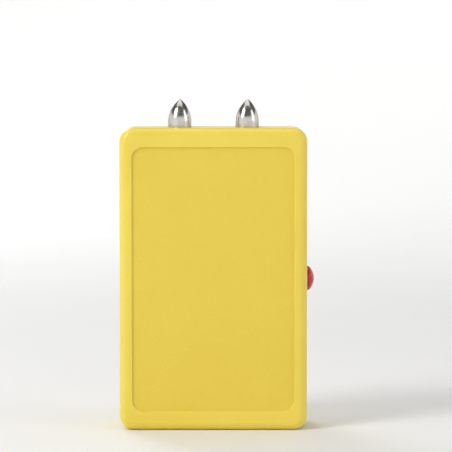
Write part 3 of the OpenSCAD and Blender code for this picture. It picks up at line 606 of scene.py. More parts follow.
class Finish:
    """A material round one Principled shader, with short ways to add nodes in the piece's own coordinates.

    Its plain colour and roughness are for viewers that don't read the nodes.
    """

    def __init__(self, name, colour, roughness, metallic=0.0, **constants):
        self.material = bpy.data.materials.new(name)
        self.material.use_nodes = True
        self.tree = self.material.node_tree
        self.shader = self.tree.nodes["Principled BSDF"]
        self.shader.inputs["Base Color"].default_value = (*colour, 1)
        self.shader.inputs["Roughness"].default_value = roughness
        self.shader.inputs["Metallic"].default_value = metallic
        for socket, value in constants.items():
            self.shader.inputs[socket.replace("_", " ")].default_value = value
        self.coords = self.add("ShaderNodeTexCoord").outputs

    def supply(self, socket, source):
        """Feeds an input by another node's output, or sets it to a number or a colour."""
        if isinstance(source, bpy.types.NodeSocket):
            self.tree.links.new(source, socket)
        elif source is not None:
            socket.default_value = (*source, 1) if isinstance(source, tuple) else source

    def add(self, kind, *sources, **settings):
        """A node with its settings, and with its first inputs supplied in their order."""
        node = self.tree.nodes.new(kind)
        for key, value in settings.items():
            if key in node.inputs:
                node.inputs[key].default_value = value
            else:
                setattr(node, key, value)
        for socket, source in zip(node.inputs, sources):
            self.supply(socket, source)
        return node

    def feed(self, socket, source):
        self.tree.links.new(source, self.shader.inputs[socket])

    def math(self, operation, a, b=0.0):
        return self.add("ShaderNodeMath", a, b, operation=operation).outputs[0]

    def plus(self, a, b):
        return self.math("ADD", a, b)

    def times(self, a, b):
        return self.math("MULTIPLY", a, b)

    def off(self, value, middle):
        """How far a coordinate is from a place in millimetres."""
        return self.math("ABSOLUTE", self.math("SUBTRACT", value, middle * MM))

    def near(self, value, middle, reach):
        """1 where a coordinate is less than reach from a place, both in millimetres, and 0 elsewhere."""
        return self.math("LESS_THAN", self.off(value, middle), reach * MM)

    def place(self, scale=(1, 1, 1), turn=(0, 0, 0)):
        """The piece's coordinates, stretched and turned."""
        node = self.add("ShaderNodeMapping", self.coords["Object"])
        node.inputs["Scale"].default_value = scale
        node.inputs["Rotation"].default_value = turn
        return node.outputs[0]

    def xyz(self):
        return self.add("ShaderNodeSeparateXYZ", self.coords["Object"]).outputs

    def noise(self, width, kind=CLOUDY, scale=(1, 1, 1), turn=(0, 0, 0)):
        """Noise whose grain is so many millimetres wide."""
        place = self.place(scale, turn)
        return self.add("ShaderNodeTexNoise", place, None, 1 / (width * MM), *kind).outputs[0]

    def span(self, value, levels, out=NONE_TO_ALL):
        """A value between two levels, spread over another range and held at its ends."""
        return self.add("ShaderNodeMapRange", value, *levels, *out).outputs[0]

    def spread(self, noise, low, high):
        """A noise spread from low to high."""
        return self.span(noise, NOISE_LEVELS, (low, high))

    def tones(self, noise, dark, light):
        """A noise as colours from dark to light."""
        node = self.add("ShaderNodeValToRGB", noise)
        for stop, level, colour in zip(node.color_ramp.elements, NOISE_LEVELS, (dark, light)):
            stop.position = level
            stop.color = (*colour, 1)
        return node.outputs[0]

    def mix(self, factor, a, b):
        """One colour blended into another; a Mix node has its colours behind its numbers and vectors."""
        node = self.add("ShaderNodeMix", factor, data_type="RGBA")
        self.supply(node.inputs[6], a)
        self.supply(node.inputs[7], b)
        return node.outputs[2]

    def edges(self, levels):
        """1 on rounded edges, where the surface faces none of the three main ways, and 0 on flat sides."""
        facing = self.add("ShaderNodeVectorMath", self.coords["Normal"], operation="ABSOLUTE")
        x, y, z = self.add("ShaderNodeSeparateXYZ", facing.outputs[0]).outputs
        most = self.math("MAXIMUM", self.math("MAXIMUM", x, y), z)
        return self.span(self.math("SUBTRACT", 1.0, most), levels)

    def relief(self, *layers):
        """Bump from heights and their depths in millimetres, one over the other."""
        normal = None
        for height, depth in layers:
            node = self.add("ShaderNodeBump", Strength=1.0, Distance=depth * MM)
            self.supply(node.inputs["Height"], height)
            self.supply(node.inputs["Normal"], normal)
            normal = node.outputs[0]
        self.feed("Normal", normal)


def on_panel(f):
    """1 on the floor of the recessed front panel and 0 elsewhere."""
    x, y, z = f.xyz()
    middle = 0.5 * (PANEL_Z[0] + PANEL_Z[1])
    half = 0.5 * (PANEL_Z[1] - PANEL_Z[0])
    in_x = f.near(x, 0.0, PANEL_X + PANEL_FOOT_R)
    in_z = f.near(z, middle, half + PANEL_FOOT_R)
    sunk = f.near(y, PANEL_DEPTH - CASE_DEPTH, 0.5 * PANEL_DEPTH)
    return f.times(f.times(in_x, in_z), sunk)


def case_yellow():
    """Satin moulded plastic: spark-eroded grain on the panel with painted shade in its pits, finer grain
    elsewhere, and rounded edges polished by handling and lightened partly by a painted highlight.
    """
    f = Finish("case_yellow", colour=(0.83, 0.645, 0.08), roughness=0.4, Specular_IOR_Level=CASE_SHEEN)
    panel = on_panel(f)
    pits = f.noise(PANEL_GRAIN, GRAINY)
    cloud = f.noise(CASE_CLOUD)
    polish_and_highlight = f.times(f.edges(POLISH_AND_HIGHLIGHT_BEND), f.spread(f.noise(CASE_POLISH_AND_HIGHLIGHT, CALM), *POLISH_AND_HIGHLIGHT_SPREAD))
    tone = f.tones(cloud, YELLOW_DEEP, YELLOW_PALE)
    # The panel's pits are darkened: painted shade
    tone = f.mix(f.times(panel, f.span(pits, PANEL_PITS, PANEL_PIT_SHADE)), tone, YELLOW_PANEL_SHADE)
    # Rounded edges are lightened: partly handling wear, partly a painted highlight
    f.feed("Base Color", f.mix(f.times(polish_and_highlight, POLISH_HIGHLIGHT_TONE), tone, YELLOW_POLISH_HIGHLIGHT))
    rough = f.span(panel, NONE_TO_ALL, CASE_ROUGH)
    rough = f.plus(rough, f.spread(cloud, -CASE_CLOUD_ROUGH, CASE_CLOUD_ROUGH))
    f.feed("Roughness", f.math("SUBTRACT", rough, f.times(polish_and_highlight, POLISH_GLOSS)))
    grain = f.times(pits, f.span(panel, NONE_TO_ALL, PIT_SHARE))
    f.relief((grain, PANEL_GRAIN_H), (f.noise(CASE_GRAIN, CALM), CASE_GRAIN_H))
    return f.material


def moulded(name, dark, light, roughness, grain=0.3, depth=0.008, mottle=8.0):
    """Plain moulded plastic or dipped resin with a fine grain and a slight cloud in its colour and gloss."""
    f = Finish(name, light, roughness)
    f.feed("Base Color", f.tones(f.noise(mottle), dark, light))
    dullness = [roughness + swing for swing in MOULDED_ROUGH]
    f.feed("Roughness", f.spread(f.noise(mottle / 3, STREAKY), *dullness))
    f.relief((f.noise(grain, GRAINY), depth))
    return f.material


def button_red():
    """Semi-gloss moulded button with fine hairlines from use on its crown."""
    f = Finish("button_red", colour=(0.5, 0.02, 0.012), roughness=0.3, Specular_IOR_Level=BUTTON_SHEEN)
    cloud = f.noise(BUTTON_CLOUD)
    hair = f.span(f.noise(HAIR, HAIRY, HAIR_STRETCH, HAIR_TURN), HAIR_LEVELS)
    f.feed("Base Color", f.mix(f.times(hair, HAIR_TONE), f.tones(cloud, RED_DEEP, RED_BRIGHT), RED_RUBBED))
    f.feed("Roughness", f.plus(f.spread(cloud, *BUTTON_ROUGH), f.times(hair, HAIR_ROUGH)))
    f.relief((f.noise(BUTTON_GRAIN, GRAINY), BUTTON_GRAIN_H), (f.times(hair, -1.0), HAIR_H))
    return f.material


def electrode_plating():
    """Bright nickel over turned brass: fine tool rings round the axis and a slight tarnish near the foot."""
    f = Finish("electrode_plating", colour=(0.62, 0.6, 0.56), roughness=0.2, metallic=1.0,
               Specular_Tint=NICKEL_GRAZED)
    z = f.xyz()[2]
    rings = f.add("ShaderNodeTexNoise", None, z, 1 / (TOOL_RING * MM), *GRAINY,
                  noise_dimensions="1D").outputs[0]
    smear = f.noise(NICKEL_SMEAR, STREAKY)
    foot = f.span(z, (CASE_H * MM, (CASE_H + TARNISH_H) * MM), ALL_TO_NONE)
    tarnish = f.times(foot, f.span(smear, TARNISH_LEVELS))
    tone = f.tones(smear, NICKEL_DARK, NICKEL_BRIGHT)
    f.feed("Base Color", f.mix(f.times(tarnish, TARNISH_TONE), tone, TARNISH))
    rough = f.plus(f.spread(smear, *NICKEL_ROUGH), f.spread(rings, *TOOL_RING_ROUGH))
    f.feed("Roughness", f.plus(rough, f.times(tarnish, TARNISH_ROUGH)))
    f.relief((rings, TOOL_RING_H), (f.noise(NICKEL_RIPPLE), NICKEL_RIPPLE_H))
    return f.material


def metal(name, dark, light, roughness, streak=(1, 1, 1), grain=0.6, depth=0.003):
    """Plated or drawn metal with streaks along its grain and uneven gloss."""
    f = Finish(name, light, roughness, metallic=1.0)
    streaks = f.noise(grain, STREAKY, streak)
    cloud = f.noise(METAL_CLOUD, STREAKY)
    f.feed("Base Color", f.tones(cloud, dark, light))
    rough = f.spread(cloud, roughness - METAL_CLOUD_ROUGH, roughness + METAL_CLOUD_ROUGH)
    f.feed("Roughness", f.plus(rough, f.spread(streaks, -METAL_STREAK_ROUGH, METAL_STREAK_ROUGH)))
    f.relief((streaks, depth))
    return f.material


def board_tracks(f, flat):
    """1 on copper tracks, which run upright in some patches of the board and level in the others."""
    patches = f.add("ShaderNodeTexVoronoi", flat, None, 1 / (TRACK_PATCH * MM),
                    voronoi_dimensions="2D", distance="CHEBYCHEV")
    shade = f.add("ShaderNodeSeparateColor", patches.outputs["Color"]).outputs[0]
    upright = f.math("GREATER_THAN", shade, 0.5)
    level = f.math("SUBTRACT", 1.0, upright)
    x, _, z = f.xyz()
    ways = []
    for chosen, across in ((upright, x), (level, z)):
        wave = f.math("PINGPONG", f.times(across, 1 / (TRACK_PITCH * MM)), 0.5)
        ways.append(f.times(chosen, f.span(wave, TRACK_EDGE)))
    return f.plus(*ways)


def board_pads(f, flat):
    """1 on the tinned pads, which take some of the places on a grid."""
    grid = f.add("ShaderNodeTexVoronoi", flat, None, 1 / (PAD_PITCH * MM),
                 voronoi_dimensions="2D", Randomness=0.0)
    dots = f.span(grid.outputs["Distance"], PAD_EDGE, ALL_TO_NONE)
    taken = f.add("ShaderNodeTexNoise", grid.outputs["Position"], None, 1 / (2 * PAD_PITCH * MM), 1.0,
                  noise_dimensions="2D").outputs[0]
    return f.times(dots, f.math("GREATER_THAN", taken, PAD_LEVEL))


def board_green():
    """Solder mask over copper tracks, with tinned pads."""
    f = Finish("board_green", colour=(0.015, 0.14, 0.05), roughness=0.35)
    flat = f.place(turn=(math.pi / 2, 0, 0))
    tracks = board_tracks(f, flat)
    pads = board_pads(f, flat)
    f.feed("Base Color", f.mix(pads, f.mix(tracks, MASK, MASK_ON_TRACK), PAD_TIN))
    f.feed("Metallic", pads)
    f.feed("Roughness", f.spread(f.noise(MASK_CLOUD), *MASK_ROUGH))
    f.relief((f.math("MAXIMUM", tracks, pads), COPPER_H), (f.noise(MASK_GRAIN, CALM), MASK_GRAIN_H))
    return f.material


def cell_film(name, colour, metallic):
    """Printed plastic film on a steel can, glossy, with faint rubbing along the cell."""
    f = Finish(name, colour, roughness=0.26, metallic=metallic, Coat_Weight=FILM_COAT,
               Coat_Roughness=FILM_COAT_ROUGH)
    rubs = f.noise(FILM_RUB, STREAKY, FILM_RUB_STRETCH)
    smudge = f.noise(FILM_SMUDGE, STREAKY)
    f.feed("Base Color", f.tones(smudge, tuple(FILM_SHADE * c for c in colour), colour))
    rubbed = f.span(rubs, FILM_RUB_LEVELS, FILM_RUB_ROUGH)
    f.feed("Roughness", f.plus(f.spread(smudge, *FILM_ROUGH), rubbed))
    f.relief((rubs, FILM_RUB_H))
    return f.material


def ringed_diode():
    """Black resin diode with a pale ring at one end."""
    f = Finish("ringed_diode", colour=(0.02, 0.02, 0.022), roughness=0.35)
    ring = f.span(f.off(f.xyz()[0], DIODE_RING_X), [edge * MM for edge in DIODE_RING], ALL_TO_NONE)
    f.feed("Base Color", f.mix(ring, DIODE_BLACK, DIODE_PALE))
    f.feed("Roughness", f.spread(f.noise(COMPONENT_CLOUD), *DIODE_ROUGH))
    f.relief((f.noise(DIODE_GRAIN), DIODE_GRAIN_H))
    return f.material


def banded_body():
    """Lacquered resistor body with plain paint rings along X."""
    f = Finish("banded_body", colour=(0.5, 0.37, 0.2), roughness=0.4)
    wave = f.add("ShaderNodeTexWave", f.place(), 1 / (LACQUER_WAVE * MM), bands_direction="X")
    f.feed("Base Color", f.mix(f.span(wave.outputs["Fac"], LACQUER_LEVELS), LACQUER, LACQUER_RING))
    f.feed("Roughness", f.spread(f.noise(COMPONENT_CLOUD), *LACQUER_ROUGH))
    f.relief((f.noise(LACQUER_GRAIN), LACQUER_GRAIN_H))
    return f.material


def floor_white():
    """Pale matt studio floor, lit from inside towards its far wall as a light tent is."""
    f = Finish("floor_white", colour=(0.85, 0.85, 0.845), roughness=0.75, Emission_Color=(1.0, 1.0, 1.0, 1))
    x, y, _ = f.xyz()
    flat = f.add("ShaderNodeCombineXYZ", x, y).outputs[0]
    away = f.add("ShaderNodeVectorMath", flat, operation="LENGTH").outputs["Value"]
    f.feed("Base Color", f.tones(f.noise(FLOOR_CLOUD), FLOOR_DARK, FLOOR_PALE))
    f.feed("Roughness", f.spread(f.noise(FLOOR_DULL), *FLOOR_ROUGH))
    f.feed("Emission Strength", f.span(away, TENT_GLOW[:2], TENT_GLOW[2:]))
    f.relief((f.noise(FLOOR_GRAIN), FLOOR_GRAIN_H))
    return f.material


# Mouldings have a dark and a light tone, a roughness, the width and depth of the grain and the width of the
# clouds; metals have two tones, a roughness, the stretch of the streaks and the width of the grain
FINISHES = {
    "case_plastic": case_yellow(),
    "button_plastic": button_red(),
    "electrode_metal": electrode_plating(),
    "screw_steel": metal("zinc_plate", (0.5, 0.51, 0.53), (0.63, 0.64, 0.66), 0.3),
    "spring_steel": metal("spring_wire", (0.42, 0.43, 0.45), (0.6, 0.61, 0.62), 0.28, grain=0.25),
    "contact_metal": metal("nickel_sheet", (0.58, 0.56, 0.52), (0.7, 0.68, 0.63), 0.27, (1, 0.1, 1), 0.3),
    "board": board_green(),
    "ferrite": moulded("ferrite_grey", (0.03, 0.03, 0.033), (0.06, 0.06, 0.065), 0.62, 0.25, 0.02, 3.0),
    "black_plastic": moulded("black_moulding", (0.012, 0.012, 0.013), (0.026, 0.026, 0.028), 0.42),
    "winding": metal("enamelled_wire", (0.42, 0.15, 0.05), (0.6, 0.26, 0.09), 0.24, grain=0.4),
    "film_capacitor": moulded("dipped_resin", (0.34, 0.035, 0.02), (0.47, 0.06, 0.032), 0.22, 1.2, 0.03),
    "capacitor_can": moulded("sleeve_blue", (0.012, 0.02, 0.075), (0.02, 0.03, 0.11), 0.3, 0.6, 0.006),
    "component_body": banded_body(),
    "red_lead": moulded("red_insulation", (0.42, 0.014, 0.012), (0.52, 0.022, 0.018), 0.38, 0.5, 0.01, 4.0),
    "black_lead": moulded("black_insulation", (0.01, 0.01, 0.01), (0.022, 0.022, 0.022), 0.4, 0.5, 0.01, 4.0),
    "cell_wrap": cell_film("cell_wrap", (0.055, 0.06, 0.068), 0.2),
}
TINNED = metal("tinned_copper", (0.55, 0.54, 0.51), (0.68, 0.66, 0.62), 0.3, grain=0.3)
DIODE = ringed_diode()
CELL_BAND = cell_film("cell_band", (0.62, 0.62, 0.6), 0.7)
CELL_ENDS = metal("cell_ends", (0.6, 0.59, 0.57), (0.72, 0.71, 0.69), 0.24)
CELL_WASHER = moulded("cell_washer", (0.5, 0.5, 0.48), (0.58, 0.58, 0.56), 0.5)


def dress(piece, body, slot, *nodes):
    """Gives a piece its finish, sets it on its body and lets it stand for its CAD nodes."""
    if not piece.data.materials:
        piece.data.materials.append(FINISHES[slot])
    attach(piece, body)
    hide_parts(*nodes)
    return piece


# Case

def flare(r):
    """How a hole's rim opens: growth of the hole and depth below the face, from inside to past the face."""
    bend = arc((r + SKIN, r), r, 180, FLARE_END, EDGE_STEPS // 2)
    grow, below = bend[-1]
    return [(-r, 2 * r), (-r / 2, r)] + bend + [(grow + 2 * r, below - r)]


def shell_outside(side, edge_r, face_rings):
    """Outside of one shell, from past the seam to its face; side is -1 for the front and 1 for the back."""
    lip = SEAM_HALF + SKIN
    lip_in = SEAM_DEPTH - SEAM_LIP_IN
    profile = [(lip_in, -SEAM_PAST), (lip_in, lip)]
    profile += arc((SKIN + SEAM_LIP_R, lip + SEAM_LIP_R), SEAM_LIP_R, 270, 180, LIP_STEPS)
    profile += arc((SKIN + edge_r, CASE_DEPTH - SKIN - edge_r), edge_r, 180, 90, EDGE_STEPS)
    rings = []
    for inset, depth in profile:
        z = (inset, CASE_H - inset)
        rings.append(rect_ring(both_ways(CASE_X, -inset), z, CORNER_R - inset, side * depth))
    return loft("outside", rings + face_rings)


def panel_rings():
    """Rim and floor of the recessed front panel."""
    face = CASE_DEPTH - SKIN
    floor = CASE_DEPTH - PANEL_DEPTH - SKIN
    profile = arc((PANEL_FOOT_R + PANEL_LIP_R, face - PANEL_LIP_R), PANEL_LIP_R, 90, 180, LIP_STEPS + 1)
    profile += arc((0, floor + PANEL_FOOT_R), PANEL_FOOT_R, 0, -90, LIP_STEPS + 1)
    rings = []
    for grow, depth in profile:
        z = (PANEL_Z[0] - grow, PANEL_Z[1] + grow)
        rings.append(rect_ring(both_ways(PANEL_X, grow), z, PANEL_R + grow, -depth))
    return rings


def round_mouth(r, face, along, centre):
    """Opens the rim of a round hole in a face."""
    rim = [(r + grow, face - below) for grow, below in flare(EDGE_SOFT)]
    return turned("mouth", [(0, rim[0][1])] + rim + [(0, rim[-1][1])], along, centre, HOLE_STEPS)


def square_mouth(x, z, r, soft):
    """Opens the rim of a rectangular hole in the back."""
    face = CASE_DEPTH - SKIN
    rings = []
    for grow, below in flare(soft):
        wide = (x[0] - grow, x[1] + grow)
        high = (z[0] - grow, z[1] + grow)
        rings.append(rect_ring(wide, high, r + max(grow, 0), face - below))
    return loft("mouth", rings)


def button_mouth():
    return round_mouth(BUTTON_HOLE_R, CASE_X - SKIN, along_x, (0, 0, BUTTON_Z))


def screw_wells():
    return [(x, z) for x in both_ways(SCREW_X) for z in SCREW_HEIGHTS]


def front_shell():
    piece = node_copy("front_shell", "front_shell_moulding")
    carve(piece, shell_outside(-1, FRONT_EDGE_R, panel_rings()), "INTERSECT")
    carve(piece, button_mouth())
    dress(smooth(piece), "case", "case_plastic", "front_shell")


def rear_shell():
    piece = node_copy("rear_shell", "rear_shell_moulding")
    carve(piece, shell_outside(1, REAR_EDGE_R, []), "INTERSECT")
    carve(piece, button_mouth())
    for x, z in screw_wells():
        carve(piece, round_mouth(SCREW_WELL_R, CASE_DEPTH - SKIN, along_y, (x, 0, z)))
    carve(piece, square_mouth(both_ways(DOORWAY_X), DOORWAY_Z, DOORWAY_R, EDGE_SOFT))
    dress(smooth(piece), "case", "case_plastic", "rear_shell")


def door_outside():
    """Rounds the door's outer edges left, right and above; its lower edge is the round hinge barrel."""
    half, low, high, start = DOOR_ROOM
    middle = (SKIN + EDGE_SOFT, CASE_DEPTH - SKIN - EDGE_SOFT)
    rings = []
    for depth in (start, DOOR_EDGE_START):
        rings.append(rect_ring(both_ways(half), (low, high), DOOR_CORNER_R, depth))
    for inset, depth in [(SKIN, DOOR_EDGE_START)] + arc(middle, EDGE_SOFT, 180, 90, LIP_STEPS + 1):
        rings.append(rect_ring(both_ways(DOOR_X, -inset), (low, DOOR_TOP - inset), DOOR_CORNER_R, depth))
    return loft("outside", rings)


def battery_door():
    piece = node_copy("battery_door", "battery_door_moulding")
    carve(piece, door_outside(), "INTERSECT")
    for side in (-1, 1):
        slit = sorted((side * LATCH_HALF, side * (LATCH_HALF + LATCH_SLIT)))
        carve(piece, square_mouth(slit, (LATCH_LOW, DOOR_TOP + LATCH_SLIT), SLIT_SOFT, SLIT_SOFT))
    dress(smooth(piece), "door", "case_plastic", "battery_door")


# Button and electrodes

def push_button():
    dome_r = (BUTTON_R ** 2 + (CROWN - DOME_EDGE) ** 2) / (2 * (CROWN - DOME_EDGE))
    edge = math.degrees(math.asin(BUTTON_R / dome_r))
    dome = arc((0, CROWN - dome_r), dome_r, 90 - edge, 90, EDGE_STEPS * 2)
    dome[-1] = (0, CROWN)
    # The rounded rim takes up the dome's first step
    del dome[1]
    stem = [(0, STEM_END), (STEM_R - STEM_TIP, STEM_END), (STEM_R, STEM_END + STEM_TIP), (STEM_R, FLANGE[0])]
    flange = [(FLANGE_R, FLANGE[0]), (FLANGE_R, FLANGE[1]), (BUTTON_R, FLANGE[1])]
    foot = len(stem)
    rim = foot + len(flange)
    cuts = {foot: TURNED_SOFT, foot + 1: TURNED_SOFT, rim: BUTTON_SOFT}
    piece = turned("push_button_cap", softened(stem + flange + dome, cuts), along_x, (0, 0, BUTTON_Z))
    dress(smooth(piece), "button", "button_plastic", "push_button")


def electrode(side, node):
    rise = TIP_H - TIP_STRAIGHT - NOSE_R
    arch_r = (rise ** 2 + TIP_R ** 2 - NOSE_R ** 2) / (2 * (TIP_R - NOSE_R))
    lean = math.degrees(math.asin(rise / (arch_r - NOSE_R)))
    tip = arc((TIP_R - arch_r, TIP_STRAIGHT), arch_r, 0, lean, EDGE_STEPS * 3)
    nose = arc((0, TIP_H - NOSE_R), NOSE_R, lean, 90, EDGE_STEPS)[1:]
    nose[-1] = (0, TIP_H)
    profile = [
        (0, TAIL_END + CUP_DEPTH), (CUP_R, TAIL_END + CUP_DEPTH), (CUP_R, TAIL_END), (TAIL_R, TAIL_END),
        (TAIL_R, COLLAR[0]), (COLLAR_R, COLLAR[0]), (COLLAR_R, COLLAR[1]), (SHANK_R, COLLAR[1]),
        (SHANK_R, 0), (TIP_R, 0)]
    outer_corners = (2, 3, 5, 6, 9)
    profile = softened(profile + tip + nose, dict.fromkeys(outer_corners, TURNED_SOFT))
    piece = turned(node + "_turned", profile, along_z, (side * ELECTRODE_X, 0, CASE_H))
    dress(smooth(piece), "case", "electrode_metal", node)


# Repeated pieces, made by Geometry Nodes

class Tree:
    """A Geometry Nodes tree with named inputs, its finish among them."""

    def __init__(self, name, inputs):
        self.group = bpy.data.node_groups.new(name, "GeometryNodeTree")
        sockets = self.group.interface
        sockets.new_socket("Geometry", in_out="OUTPUT", socket_type="NodeSocketGeometry")
        sockets.new_socket("Geometry", in_out="INPUT", socket_type="NodeSocketGeometry")
        self.inputs = {}
        for title, kind in {**inputs, "Finish": "Material"}.items():
            socket = sockets.new_socket(title, in_out="INPUT", socket_type="NodeSocket" + kind)
            self.inputs[title] = socket.identifier
        self.given = self.group.nodes.new("NodeGroupInput").outputs

    def add(self, kind, links, **settings):
        """The outputs of a new node; links maps an input's name or number to an output or a value."""
        node = self.group.nodes.new(kind)
        for key, value in settings.items():
            setattr(node, key, value)
        for key, value in links.items():
            if isinstance(value, bpy.types.NodeSocket):
                self.group.links.new(value, node.inputs[key])
            else:
                node.inputs[key].default_value = value
        return node.outputs

    def math(self, operation, a, b=0.0):
        return self.add("ShaderNodeMath", {0: a, 1: b}, operation=operation)[0]

    def xyz(self):
        return self.add("ShaderNodeSeparateXYZ", {0: self.add("GeometryNodeInputPosition", {})[0]})

    def spiral(self, start, end):
        """A spiral of the given turns and height between two radii."""
        return self.add("GeometryNodeCurveSpiral", {
            "Resolution": COIL_STEPS, "Rotations": self.given["Turns"], "Start Radius": start,
            "End Radius": end, "Height": self.given["Height"]})[0]

    def sweep(self, path):
        """A round wire along a path, with closed ends."""
        section = self.add("GeometryNodeCurvePrimitiveCircle", {
            "Resolution": WIRE_SIDES, "Radius": self.given["Wire radius"]})[0]
        return self.add("GeometryNodeCurveToMesh", {0: path, "Profile Curve": section, "Fill Caps": True})[0]

    def end(self, geometry):
        """Realizes the instances, sets the material and hands the result out."""
        real = self.add("GeometryNodeRealizeInstances", {0: geometry})[0]
        painted = self.add("GeometryNodeSetMaterial", {0: real, "Material": self.given["Finish"]})[0]
        rounded = self.add("GeometryNodeSetShadeSmooth", {0: painted})[0]
        self.add("NodeGroupOutput", {0: rounded})
        return self

    def run(self, base, slot, values):
        """Runs the tree on an object and leaves a plain mesh under the object's name."""
        step = base.modifiers.new(self.group.name, "NODES")
        step.node_group = self.group
        for title, value in {**values, "Finish": FINISHES[slot]}.items():
            step[self.inputs[title]] = value
        mesh = made_mesh(base)
        name = base.name
        bpy.data.objects.remove(base)
        mesh.name = name
        return put(name, mesh)


def instance_tree(name, inputs, shape):
    """A tree that sets one shape on every point, turned as the point's own turn says."""
    tree = Tree(name, inputs)
    turn = tree.add("GeometryNodeInputNamedAttribute", {"Name": "turn"}, data_type="FLOAT_VECTOR")[0]
    points = tree.add("GeometryNodeMeshToPoints", {0: tree.given["Geometry"]})[0]
    copies = tree.add("GeometryNodeInstanceOnPoints", {
        "Points": points, "Instance": shape(tree), "Rotation": turn})[0]
    return tree.end(copies)


def spots(name, places, turns):
    """Bare points that carry a turn each."""
    base = new_piece(name, places, [])
    attribute = base.data.attributes.new("turn", "FLOAT_VECTOR", "POINT")
    for item, turn in zip(attribute.data, turns):
        item.vector = turn
    return base


def object_shape(tree):
    return tree.add("GeometryNodeObjectInfo", {0: tree.given["Shape"]})["Geometry"]


def set_of(name, shape, places, turns, slot):
    """Copies of one shape on several places, as one piece; the shape is used up."""
    tree = instance_tree(name + "_tree", {"Shape": "Object"}, object_shape)
    piece = tree.run(spots(name, places, turns), slot, {"Shape": shape})
    bpy.data.objects.remove(shape)
    piece.data.set_sharp_from_angle(angle=math.radians(SMOOTH_ANGLE))
    return piece


def cross_rings(face, top, head_r):
    """The cross recess of a screw's head, from above the head down to its foot."""
    rings = []
    for arm, half, lift in CROSS:
        y = face * (top + head_r * lift)
        ring = []
        for quarter in range(4):
            c = round(math.cos(quarter * math.pi / 2))
            s = round(math.sin(quarter * math.pi / 2))
            for x, z in ((arm, -half), (arm, half), (half, half)):
                ring.append((head_r * (x * c - z * s), y, head_r * (x * s + z * c)))
        rings.append(ring)
    return rings


def screw_blank(face, r, tip, seat, head_r, head_h):
    """A pan-head screw with a cross recess and a thread.

    Its heights count along Y, or against it where face is -1.
    """
    side = head_r * HEAD_SIDE
    pitch = r * THREAD_PITCH
    profile = [(0, tip)]
    height = tip + pitch
    while height + pitch < seat:
        profile += [(r * THREAD_ROOT, height), (r, height + pitch / 2)]
        height += pitch
    profile += [(r, seat), (head_r, seat), (head_r, seat + side)]
    profile += arc((head_r - head_h + side, seat + side), head_h - side, 0, 90, EDGE_STEPS)[1:]
    profile.append((0, seat + head_h))
    outline = [(radius, face * along) for radius, along in profile]
    blank = turned("screw", outline, along_y, (0, 0, 0), HOLE_STEPS)
    return smooth(carve(blank, loft("cross", cross_rings(face, seat + head_h, head_r))))


def screws(name, node, sizes, places_xz):
    places = [(x, 0, z) for x, z in places_xz]
    turns = [(0, math.radians(angle), 0) for angle in SCREW_TURNS]
    dress(set_of(name, screw_blank(**sizes), places, turns, "screw_steel"), "case", "screw_steel", node)


def all_screws():
    screws("case_screw_set", "case_screws", CASE_SCREW, screw_wells())
    screws("board_screw_set", "board_screws", BOARD_SCREW, BOARD_SCREW_SPOTS)
    screws("switch_screw_set", "switch_screws", SWITCH_SCREW, SWITCH_SCREW_SPOTS)


def solder_joints():
    """Solder domes with cut pin ends on the back of the board, under every part's legs."""
    dome = smooth(turned("dome", SOLDER_DOME, along_y, (0, 0, 0), WIRE_SIDES * 2))
    places = [(x, BOARD_BACK, z) for xs, zs in SOLDER_GRIDS for x in xs for z in zs]
    dress(set_of("solder_joints", dome, places, [], "contact_metal"), "case", "contact_metal")


def winding_tree():
    """A tree that lays one layer of wire round a square former with rounded corners."""
    titles = ("Half width", "Height", "Turns", "Wire radius")
    tree = Tree("wire_layer", {**dict.fromkeys(titles, "Float"), "Middle": "Vector"})
    path = tree.spiral(1.0, 1.0)
    x, y, z = tree.xyz()
    powers = [tree.math("POWER", tree.math("ABSOLUTE", way), FORMER_SQUARE) for way in (x, y)]
    reach = tree.math("POWER", tree.math("ADD", *powers), -1 / FORMER_SQUARE)
    grow = tree.math("MULTIPLY", reach, tree.given["Half width"])
    lift = tree.math("SUBTRACT", z, tree.math("MULTIPLY", tree.given["Height"], 0.5))
    squared = tree.add("ShaderNodeCombineXYZ", {
        0: tree.math("MULTIPLY", x, grow), 1: tree.math("MULTIPLY", y, grow), 2: lift})[0]
    laid = tree.add("GeometryNodeSetPosition", {
        0: path, "Position": squared, "Offset": tree.given["Middle"]})[0]
    return tree.end(tree.sweep(laid))


def transformer_winding():
    low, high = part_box("transformer_winding")
    size = high - low
    wire = WINDING_WIRE_R * MM
    height = size.z - 2 * wire
    piece = winding_tree().run(new_piece("transformer_winding_wire", [(0, 0, 0)], []), "winding", {
        "Half width": size.x / 2 - wire, "Height": height, "Turns": height / (2 * wire), "Wire radius": wire,
        "Middle": (low + high) / 2})
    dress(piece, "case", "winding", "transformer_winding")


def coil_shape(tree):
    """A wire coil with closed ends: the climb eases in and out."""
    height = tree.given["Height"]
    path = tree.spiral(tree.given["Foot radius"], tree.given["Head radius"])
    x, y, z = tree.xyz()
    climb = tree.add("ShaderNodeMapRange", {"Value": z, "From Max": height, "To Max": height},
                     interpolation_type="SMOOTHSTEP")[0]
    eased_place = tree.add("ShaderNodeCombineXYZ", {0: x, 1: y, 2: climb})[0]
    return tree.sweep(tree.add("GeometryNodeSetPosition", {0: path, "Position": eased_place})[0])


def coil_tree():
    """A tree that sets one wire coil on every point."""
    titles = ("Foot radius", "Head radius", "Height", "Turns", "Wire radius")
    return instance_tree("coil_set", dict.fromkeys(titles, "Float"), coil_shape)


def coils(tree, name, node, sizes, places, turns):
    """One coil on every place, as one piece."""
    piece = tree.run(spots(name, places, turns), "spring_steel", {
        "Foot radius": sizes["foot"] * MM, "Head radius": sizes["head"] * MM, "Height": sizes["height"] * MM,
        "Turns": sizes["turns"], "Wire radius": sizes["wire"] * MM})
    return dress(piece, "case", "spring_steel", node)


